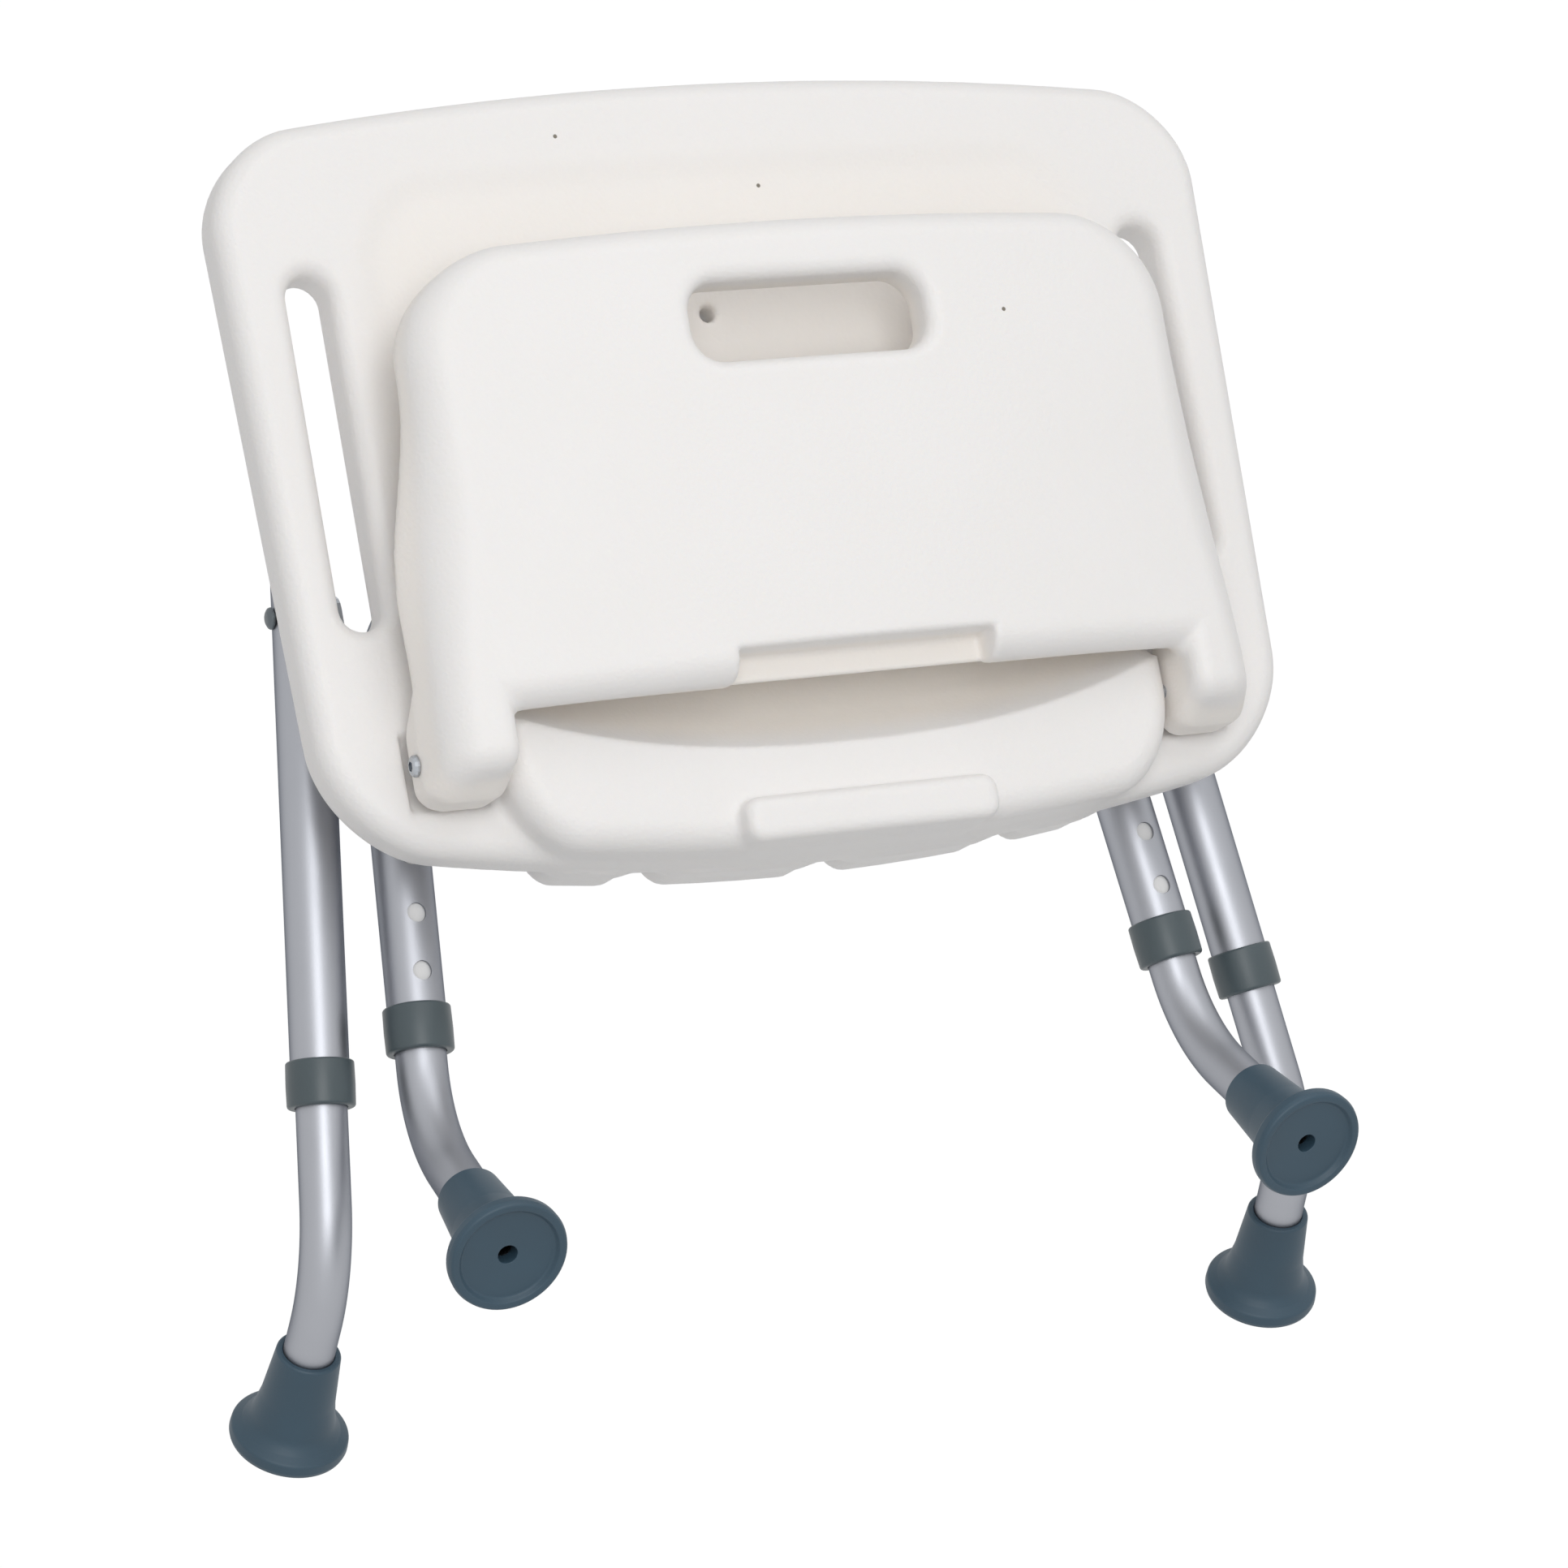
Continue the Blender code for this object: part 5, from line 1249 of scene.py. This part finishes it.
@dataclass(frozen=True)
class Leg:
    """One leg's centre line, from its pivot to its sole."""

    pair: Pair
    side: Side

    @property
    def form(self) -> LegForm:
        """Return the measures of the leg's pair."""
        return LEG_FORMS[self.pair]

    @property
    def name(self) -> str:
        """Return the leg's name as the nodes write it."""
        return f"{self.pair.value}_{self.side.word}"

    @property
    def collar(self) -> Vector:
        """Return the middle of the collar."""
        x, y, z = self.form.collar
        return Vector((self.side.value * x, y, z))

    @property
    def top(self) -> Vector:
        """Return the upper end of the straight tube."""
        x, y, z = self.form.top
        return Vector((self.side.value * x, y, z))

    @property
    def down(self) -> Vector:
        """Return the direction of the upper tube, towards the collar."""
        return (self.collar - self.top).normalized()

    @property
    def foot(self) -> Vector:
        """Return the direction of the shin, towards the sole.

        Returns:
            The direction, of length 1.
        """
        form = self.form
        angle = math.radians(form.foot_angle)
        run = Vector((self.side.value * form.splay, -math.cos(angle), form.rise * math.sin(angle)))
        return run.normalized()

    @property
    def bend(self) -> Vector:
        """Return the corner between the two straight parts of the lower tube."""
        return self.collar + self.down * self.form.knee

    @property
    def sole(self) -> Vector:
        """Return the centre of the sole."""
        return self.bend + self.foot * self.form.shin

    @property
    def hole(self) -> Vector:
        """Return the direction that the adjusting holes face."""
        out = Vector((0.0, 0.0, self.form.rise))
        return (out - self.down * out.dot(self.down)).normalized()

    def above(self, distance: float) -> Vector:
        """Return the point of the upper tube's centre line at a distance above the collar."""
        return self.collar - self.down * distance


@dataclass
class Legs:
    """The four legs: bent tubes, collars, lower tubes and rubber feet."""

    stand: Stand
    palette: Palette

    # The tubes
    upper: float = 25.4
    lower: float = 22.2
    wall: float = 1.2
    sides: int = 64
    bend_radius: float = 67.0
    corner_radius: float = 70.0
    straight_steps: int = 36
    rear_end: float = 13.5
    metal_crease: float = 40.0
    moulded_crease: float = 50.0

    # The adjusting holes
    hole: float = 8.5
    pitch: float = 25.4
    first_hole: float = 23.5
    hole_count: int = 4
    drill_length: float = 7.0
    hole_room: float = 8.0
    spring_room: float = 15.0

    # The collars
    collar_length: float = 20.0
    collar_across: float = 29.6
    collar_lip: float = 4.0
    collar_play: float = 0.15
    collar_crown: float = 0.1
    gap: float = 0.3

    # The feet
    sole_radius: float = 26.0
    foot_height: float = 50.0
    foot_floor: float = 9.0
    foot_play: float = 0.1
    foot_sides: int = 80
    mouth_radius: float = 13.8
    sole_hole: float = 4.25
    floor_gap: float = 2.1

    # The rear legs' rivets, from tail to head
    rivet_tail: float = 183.4
    rivet_seat: float = 213.7
    rivet_head: float = 216.5
    rivet_sides: int = 32

    def bent(self, start: Vector, corner: Vector, stop: Vector, radius: float) -> list[Vector]:
        """Return the points of a bend in space, from the first straight to the second.

        Args:
            start: A point on the first straight.
            corner: Where the straights would meet.
            stop: A point on the second straight.
            radius: The bend's radius.

        Returns:
            The points, in order.
        """
        to_start = (start - corner).normalized()
        to_stop = (stop - corner).normalized()
        turn = math.pi - to_start.angle(to_stop)
        center = corner + (to_start + to_stop).normalized() * (radius / math.cos(turn / 2.0))
        reach = radius * math.tan(turn / 2.0)
        first = corner + to_start * reach - center
        last = corner + to_stop * reach - center
        step = 3.0
        count = max(4, math.ceil(math.degrees(turn) / step))
        turns = (turn * i / count for i in range(count + 1))
        return [center + (first * math.sin(turn - t) + last * math.sin(t)) / math.sin(turn) for t in turns]

    def tube(self, name: str, path: Sequence[Vector], across: float) -> bpy.types.Object:
        """Make a round tube along a path with a Geometry Nodes tree, and give it its wall.

        Args:
            name: The object's name.
            path: The centre line.
            across: The outer diameter.

        Returns:
            The tube as a closed mesh.
        """
        data = bpy.data.curves.new(name + "_path", "CURVE")
        data.dimensions = "3D"
        spline = data.splines.new("POLY")
        spline.points.add(len(path) - 1)
        for point, spot in zip(spline.points, path):
            point.co = (*self.stand.place(spot), 1.0)
        holder = new_object(name + "_path", data)
        values = {"Radius": 0.5 * across * MM, "Sides": self.sides, "Finish": self.palette.tube}
        apply_tree(holder, tube_tree(), values)
        piece = harvest(holder, name)
        wall = piece.modifiers.new("wall", "SOLIDIFY")
        wall.thickness = self.wall * MM
        wall.offset = -1.0
        return piece

    def drill(self, piece: bpy.types.Object, leg: Leg, first: float, count: int, across: float) -> None:
        """Cut a row of round holes into the outward wall of one of a leg's tubes.

        Args:
            piece: The tube.
            leg: The leg.
            first: How far above the collar the first hole lies.
            count: How many holes there are.
            across: The tube's outer diameter.
        """
        start = leg.above(first) + leg.hole * 0.5 * across
        holder = new_object(piece.name + "_drill", bpy.data.meshes.new(piece.name + "_drill"))
        holder.matrix_world = row_frame(self.stand.place(start), leg.hole, -leg.down)
        sizes = {"Pitch": self.pitch * MM, "Radius": 0.5 * self.hole * MM, "Length": self.drill_length * MM}
        apply_tree(holder, drill_tree(), {"Count": count, **sizes, "Finish": self.palette.tube})
        cutter = harvest(holder, piece.name + "_drill")
        cut = piece.modifiers.new("holes", "BOOLEAN")
        cut.object = cutter
        cut.operation = "DIFFERENCE"
        cut.solver = "MANIFOLD"
        bake(piece)
        bpy.data.objects.remove(cutter)

    def straight(self, leg: Leg) -> list[Vector]:
        """Return close points along the drilled length of a leg, from the collar upwards.

        Args:
            leg: The leg.

        Returns:
            The points of the upper tube's centre line.
        """
        end = self.collar_length / 2.0 - self.collar_lip - self.gap
        reach = self.first_hole + (self.hole_count - 1) * self.pitch + self.hole_room
        count = self.straight_steps
        return [leg.above(-end + (reach + end) * i / count) for i in range(count + 1)]

    def finish_tube(self, piece: bpy.types.Object, body: str, node: str) -> None:
        """Shade a finished tube and report it.

        Args:
            piece: The tube.
            body: The CAD body that it moves with.
            node: The CAD node that it replaces.
        """
        sharpen(piece, self.metal_crease)
        report(piece, body, [node])

    def build_front(self) -> None:
        """Build the front frame's tube, one bent tube for both front legs."""
        left, right = (Leg(Pair.FRONT, side) for side in Side)
        path = self.straight(left) + self.bent(left.collar, left.top, right.top, self.corner_radius)
        path += self.bent(left.top, right.top, right.collar, self.corner_radius)
        path += reversed(self.straight(right))
        piece = self.tube("front_frame_bent_tube", path, self.upper)
        for leg in (left, right):
            self.drill(piece, leg, self.first_hole, self.hole_count, self.upper)
        self.finish_tube(piece, "front_frame", "front_frame_tube")

    def build_rear(self, side: Side) -> None:
        """Build a rear leg's upper tube.

        Args:
            side: The chair's side.
        """
        leg = Leg(Pair.REAR, side)
        path = self.straight(leg) + [leg.top - leg.down * self.rear_end]
        piece = self.tube(f"rear_{side.word}_drilled_tube", path, self.upper)
        self.drill(piece, leg, self.first_hole, self.hole_count, self.upper)
        self.finish_tube(piece, f"rear_leg_{side.word}", f"rear_upper_tube_{side.word}")

    def build_lower(self, leg: Leg) -> None:
        """Build one lower tube, rubbed bright above its collar.

        Args:
            leg: The leg.
        """
        button = self.first_hole + (self.hole_count - 1 - leg.form.drawn_out) * self.pitch
        end = leg.sole - leg.foot * (self.foot_floor + self.floor_gap)
        path = [leg.above(button + self.spring_room), leg.collar]
        path += self.bent(leg.collar, leg.bend, end, self.bend_radius) + [end]
        piece = self.tube(f"{leg.name}_bent_lower_tube", path, self.lower)
        self.drill(piece, leg, button, 1, self.lower)
        piece.data.materials.append(self.palette.burnished)
        mouth = self.stand.place(leg.collar)
        for face in piece.data.polygons:
            face.material_index = int((face.center - mouth).dot(leg.down) < 0.0)
        self.finish_tube(piece, f"{leg.name}_shin", f"{leg.name}_lower_tube")

    def turned(
        self,
        name: str,
        corners: Sequence[Corner],
        spot: Matrix,
        finish: bpy.types.Material,
        step: float,
        sides: int,
    ) -> bpy.types.Object:
        """Make a turned piece.

        Args:
            name: The object's name.
            corners: Its closed profile as (radius, height, rounding).
            spot: The frame whose Z it turns round, in millimetres.
            finish: The material.
            step: The largest turn between two points of the profile, in degrees.
            sides: How many steps make the turn.

        Returns:
            The new object.
        """
        points, faces = lathe(rounded(corners, step), sides, spot)
        piece = self.stand.mesh(name, points, faces, finish)
        outward(piece)
        return piece

    def build_collar(self, leg: Leg) -> None:
        """Build the moulded collar at the end of an upper tube.

        Args:
            leg: The leg.
        """
        half = 0.5 * self.collar_length
        outer = 0.5 * self.collar_across
        bore = 0.5 * self.upper + self.collar_play
        guide = 0.5 * self.lower + self.collar_play
        # Up the slightly crowned outside, and back through the lip that guides the lower tube
        corners = [
            (bore, -half, 0.3),
            (outer - self.collar_crown, -half, 1.1),
            (outer + self.collar_crown, 0.0, 40.0),
            (outer - self.collar_crown, half, 1.4),
            (guide, half, 0.5),
            (guide, half - self.collar_lip, 0.3),
            (bore, half - self.collar_lip, 0.2),
        ]
        spot = axis_frame(leg.collar, leg.down)
        name = f"{leg.name}_moulded_collar"
        piece = self.turned(name, corners, spot, self.palette.collar, step=15.0, sides=self.sides)
        sharpen(piece, self.moulded_crease)
        body = "front_frame" if leg.pair is Pair.FRONT else f"rear_leg_{leg.side.word}"
        report(piece, body, [f"{leg.name}_collar"])

    def build_foot(self, leg: Leg) -> None:
        """Build one rubber foot: a flared ferrule with a rimmed, hollow sole and a centre hole.

        Args:
            leg: The leg.
        """
        bore = 0.5 * self.lower + self.foot_play
        sole = self.sole_radius
        # Over the sole's rim, up the flared outside, and back down the bore
        corners = [
            (self.sole_hole, -2.4, 0.5),
            (sole - 5.5, -2.2, 1.6),
            (sole - 3.9, 0.0, 0.9),
            (sole - 0.8, 0.0, 1.4),
            (sole, -2.5, 1.5),
            (sole - 0.3, -6.6, 2.0),
            (sole - 4.4, -9.0, 2.5),
            (18.6, -12.5, 8.0),
            (16.2, -25.0, 18.0),
            (self.mouth_radius + 0.2, -self.foot_height, 1.3),
            (bore, -self.foot_height, 0.7),
            (bore, -self.foot_floor, 0.3),
            (self.sole_hole, -self.foot_floor, 0.3),
        ]
        spot = axis_frame(leg.sole, leg.foot)
        name = f"{leg.name}_rubber_foot"
        piece = self.turned(name, corners, spot, self.palette.rubber, step=10.0, sides=self.foot_sides)
        sharpen(piece, self.moulded_crease)
        report(piece, f"{leg.name}_shin", [f"{leg.name}_foot"])

    def build_rivet(self, side: Side) -> None:
        """Build the domed rivet that a rear leg turns on.

        Args:
            side: The chair's side.
        """
        tail, seat, head = self.rivet_tail, self.rivet_seat, self.rivet_head
        corners = [
            (0.0, tail, 0.0),
            (3.0, tail, 0.4),
            (3.0, seat, 0.0),
            (5.0, seat, 0.3),
            (4.7, head - 1.4, 1.2),
            (2.8, head - 0.2, 2.0),
            (0.0, head, 0.0),
        ]
        _, y, z = LEG_FORMS[Pair.REAR].top
        spot = axis_frame(Vector((0.0, y, z)), Vector((side.value, 0.0, 0.0)))
        name = f"rear_{side.word}_domed_rivet"
        piece = self.turned(name, corners, spot, self.palette.rivet, step=15.0, sides=self.rivet_sides)
        sharpen(piece, self.metal_crease)
        report(piece, "seat", [f"rear_pivot_rivet_{side.word}"])

    def build(self) -> None:
        """Build all the legs' pieces."""
        self.build_front()
        for side in Side:
            self.build_rear(side)
        for side in Side:
            self.build_rivet(side)
        for side in Side:
            for pair in Pair:
                leg = Leg(pair, side)
                self.build_lower(leg)
                self.build_collar(leg)
                self.build_foot(leg)


# Geometry Nodes


def start_tree(name: str, inputs: dict[str, str], output: str) -> bpy.types.NodeTree:
    """Start a Geometry Nodes tree with named sockets.

    Args:
        name: The tree's name.
        inputs: The kinds of the inputs by name, such as Float.
        output: The name of the geometry that it gives.

    Returns:
        The tree.
    """
    tree = bpy.data.node_groups.new(name, "GeometryNodeTree")
    for label, kind in inputs.items():
        tree.interface.new_socket(label, in_out="INPUT", socket_type="NodeSocket" + kind)
    tree.interface.new_socket(output, in_out="OUTPUT", socket_type="NodeSocketGeometry")
    return tree


def end_tree(
    tree: bpy.types.NodeTree, made: bpy.types.NodeSocket, finish: bpy.types.NodeSocket, output: str
) -> None:
    """End a Geometry Nodes tree: make its instances real and give them their finish.

    Args:
        tree: The tree.
        made: The socket with the geometry.
        finish: The socket with the material.
        output: The name of the geometry that the tree gives.
    """
    real = add_node(tree, "GeometryNodeRealizeInstances", {"Geometry": made})
    given = {"Geometry": real.outputs["Geometry"], "Material": finish}
    dressed = add_node(tree, "GeometryNodeSetMaterial", given)
    add_node(tree, "NodeGroupOutput", {output: dressed.outputs["Geometry"]})


@cache
def tube_tree() -> bpy.types.NodeTree:
    """Return the tree that sweeps a circle along a curve.

    Returns:
        A tree with the inputs Radius, Sides and Finish.
    """
    inputs = {"Path": "Geometry", "Radius": "Float", "Sides": "Int", "Finish": "Material"}
    tree = start_tree("tube_along_path", inputs, "Tube")
    given = add_node(tree, "NodeGroupInput").outputs
    circle = {"Resolution": given["Sides"], "Radius": given["Radius"]}
    ring = add_node(tree, "GeometryNodeCurvePrimitiveCircle", circle)
    sweep = {"Curve": given["Path"], "Profile Curve": ring.outputs["Curve"]}
    swept = add_node(tree, "GeometryNodeCurveToMesh", sweep)
    end_tree(tree, swept.outputs["Mesh"], given["Finish"], "Tube")
    return tree


@cache
def drill_tree() -> bpy.types.NodeTree:
    """Return the tree that stands drills in a row along X, each along Z.

    Returns:
        A tree with the inputs Count, Pitch, Radius, Length and Finish.
    """
    sizes = {"Pitch": "Float", "Radius": "Float", "Length": "Float"}
    inputs = {"Base": "Geometry", "Count": "Int", **sizes, "Finish": "Material"}
    tree = start_tree("row_of_drills", inputs, "Drills")
    given = add_node(tree, "NodeGroupInput").outputs
    offset = add_node(tree, "ShaderNodeCombineXYZ", {"X": given["Pitch"]})
    steps = {"Count": given["Count"], "Offset": offset.outputs["Vector"]}
    row = add_node(tree, "GeometryNodeMeshLine", steps)
    size = {"Vertices": 40, "Radius": given["Radius"], "Depth": given["Length"]}
    drill = add_node(tree, "GeometryNodeMeshCylinder", size)
    spots = {"Points": row.outputs["Mesh"], "Instance": drill.outputs["Mesh"]}
    drills = add_node(tree, "GeometryNodeInstanceOnPoints", spots)
    end_tree(tree, drills.outputs["Instances"], given["Finish"], "Drills")
    return tree


def apply_tree(holder: bpy.types.Object, tree: bpy.types.NodeTree, values: dict) -> None:
    """Put a Geometry Nodes tree on an object and set its named inputs.

    Args:
        holder: The object.
        tree: The tree.
        values: The inputs by name.
    """
    modifier = holder.modifiers.new(tree.name, "NODES")
    modifier.node_group = tree
    for item in tree.interface.items_tree:
        if item.in_out == "INPUT" and item.name in values:
            modifier[item.identifier] = values[item.name]


def harvest(holder: bpy.types.Object, name: str) -> bpy.types.Object:
    """Turn an object's evaluated result into a plain mesh of its own, and drop the object.

    Args:
        holder: The object that carries the tree.
        name: The new object's name.

    Returns:
        The new object.
    """
    graph = bpy.context.evaluated_depsgraph_get()
    data = bpy.data.meshes.new_from_object(holder.evaluated_get(graph), depsgraph=graph)
    data.name = name
    data.transform(holder.matrix_world)
    bpy.data.objects.remove(holder)
    return new_object(name, data)


def bake(piece: bpy.types.Object) -> None:
    """Apply an object's modifiers to its mesh.

    Args:
        piece: The object.
    """
    graph = bpy.context.evaluated_depsgraph_get()
    data = bpy.data.meshes.new_from_object(piece.evaluated_get(graph), depsgraph=graph)
    piece.modifiers.clear()
    piece.data = data


# The studio


@dataclass
class Studio:
    """A white floor, soft lamps and the camera of the photograph.

    The place that the camera looks at and its way to it are in millimetres of the seat's frame, its
    turns in degrees and the rest in metres.
    """

    stand: Stand
    look_at: tuple[float, float, float] = (-24.0, 0.0, 0.0)
    away: float = 2440.0
    pitch: float = 9.6
    roll: float = -25.0
    yaw: float = -10.4
    lens: float = 130.435
    sensor: float = 36.0
    floor_z: float = -0.42
    floor_half: float = 6.0
    floor_color: str = "E4E4E4"
    floor_glow: float = 1.03
    floor_glow_share: float = 0.96
    sky: tuple[float, float] = (0.37, 0.53)
    sky_reach: float = 0.6
    lamp_aim: tuple[float, float, float] = (0.0, 0.0, 0.15)

    def build(self) -> None:
        """Build the floor, the light and the camera."""
        self.build_camera()
        self.build_floor()
        self.build_world()
        self.lamp("key_softbox", place=(-0.75, -0.05, 2.6), size=1.2, power=21.5)
        self.lamp("fill_softbox", place=(0.4, 1.2, 1.8), size=1.3, power=7.0)
        bpy.context.scene.view_settings.view_transform = "Standard"

    def build_camera(self) -> None:
        """Stand the camera where the photograph was taken from."""
        data = bpy.data.cameras.new("camera")
        data.lens = self.lens
        data.sensor_width = self.sensor
        camera = new_object("camera", data)
        turn = (
            Matrix.Rotation(math.radians(self.roll), 4, "Y")
            @ Matrix.Rotation(math.radians(self.pitch), 4, "X")
            @ Matrix.Rotation(math.radians(self.yaw), 4, "Z")
        )
        back = Matrix.Translation((0.0, 0.0, self.away * MM))
        camera.matrix_world = Matrix.Translation(self.stand.place(self.look_at)) @ turn @ back
        bpy.context.scene.camera = camera

    def build_floor(self) -> None:
        """Lay a white floor that the camera and the metal see as white, and that keeps a faint shadow."""
        half = self.floor_half
        data = bpy.data.meshes.new("studio_floor")
        corners = [(-half, -half), (half, -half), (half, half), (-half, half)]
        data.from_pydata([(x, y, self.floor_z) for x, y in corners], [], [(0, 1, 2, 3)])
        made = bpy.data.materials.new("white_paper_sweep")
        made.use_nodes = True
        tree = made.node_tree
        shader = tree.nodes["Principled BSDF"]
        shader.inputs["Base Color"].default_value = linear(self.floor_color)
        shader.inputs["Roughness"].default_value = 0.9
        glow = add_node(tree, "ShaderNodeEmission", {"Color": WHITE, "Strength": self.floor_glow})
        seen = {0: self.seen_share(tree), 1: self.floor_glow_share}
        share = add_node(tree, "ShaderNodeMath", seen, operation="MULTIPLY")
        both = {0: share.outputs[0], 1: shader.outputs["BSDF"], 2: glow.outputs["Emission"]}
        mixed = add_node(tree, "ShaderNodeMixShader", both)
        tree.links.new(mixed.outputs["Shader"], tree.nodes["Material Output"].inputs["Surface"])
        data.materials.append(made)
        floor = new_object("studio_floor", data)

    def seen_share(self, tree: bpy.types.NodeTree) -> bpy.types.NodeSocket:
        """Return 1 for the rays in which the camera, metal or glass sees a surface, and else 0.

        Args:
            tree: A material's or the world's tree.

        Returns:
            The socket with the share.
        """
        rays = add_node(tree, "ShaderNodeLightPath").outputs
        share = rays["Is Camera Ray"]
        for name in ("Is Glossy Ray", "Is Transmission Ray"):
            either = {0: share, 1: rays[name]}
            share = add_node(tree, "ShaderNodeMath", either, operation="MAXIMUM").outputs[0]
        return share

    def lamp(self, name: str, place: tuple[float, float, float], size: float, power: float) -> None:
        """Hang a square soft lamp that faces the chair.

        Args:
            name: The lamp's name.
            place: Where it hangs, in metres.
            size: Its side in metres.
            power: Its power in watts.
        """
        data = bpy.data.lights.new(name, "AREA")
        data.shape = "SQUARE"
        data.size = size
        data.energy = power
        made = new_object(name, data)
        made.location = place
        made.rotation_euler = (Vector(self.lamp_aim) - Vector(place)).to_track_quat("-Z", "Y").to_euler()

    def build_world(self) -> None:
        """Light the chair softly from all round, and a little more from above."""
        world = bpy.data.worlds.new("studio")
        world.use_nodes = True
        tree = world.node_tree
        back = tree.nodes["Background"]
        back.inputs["Color"].default_value = WHITE
        spot = add_node(tree, "ShaderNodeTexCoord").outputs["Generated"]
        height = add_node(tree, "ShaderNodeSeparateXYZ", {"Vector": spot}).outputs["Z"]
        low, high = self.sky
        span = {"From Min": -self.sky_reach, "From Max": self.sky_reach, "To Min": low, "To Max": high}
        rise = {"Value": height, **span}
        sky = add_node(tree, "ShaderNodeMapRange", rise, interpolation_type="SMOOTHSTEP").outputs["Result"]
        seen = {"Value": self.seen_share(tree), "To Min": sky, "To Max": 1.0}
        level = add_node(tree, "ShaderNodeMapRange", seen)
        tree.links.new(level.outputs["Result"], back.inputs["Strength"])
        bpy.context.scene.world = world


def dress_cad(palette: Palette) -> None:
    """Give the CAD nodes that stay their finishes.

    Args:
        palette: The finishes.
    """
    by_slot = {
        "blow_moulded_polyethylene": palette.shell,
        "anodised_aluminium": palette.tube,
        "grey_green_collar_plastic": palette.collar,
        "slate_rubber": palette.rubber,
        "zinc_plated_steel": palette.zinc,
        "natural_nylon": palette.nylon,
        "grey_clamp_plastic": palette.clamp,
    }
    for entry in frame["record"]["subparts"]:
        node = frame["nodes"][entry["node"]]
        node.data.materials.clear()
        node.data.materials.append(by_slot[entry["material_slot"]])
        LOG.info("%s has its CAD shape, in %s", node.name, entry["material_slot"])


def main() -> None:
    """Build the chair's pieces and the studio."""
    logging.basicConfig(level=logging.INFO, format="%(name)s: %(message)s")
    stand = Stand(seat_origin())
    palette = Palette(stand)
    dress_cad(palette)
    seat = Seat(stand, palette.shell).build()
    report(seat, "seat", ["seat_shell"])
    backrest = Backrest(stand, palette.shell).build()
    report(backrest, "backrest", ["backrest_shell"])
    Legs(stand, palette).build()
    Studio(stand).build()


if __name__ == "__main__":
    main()
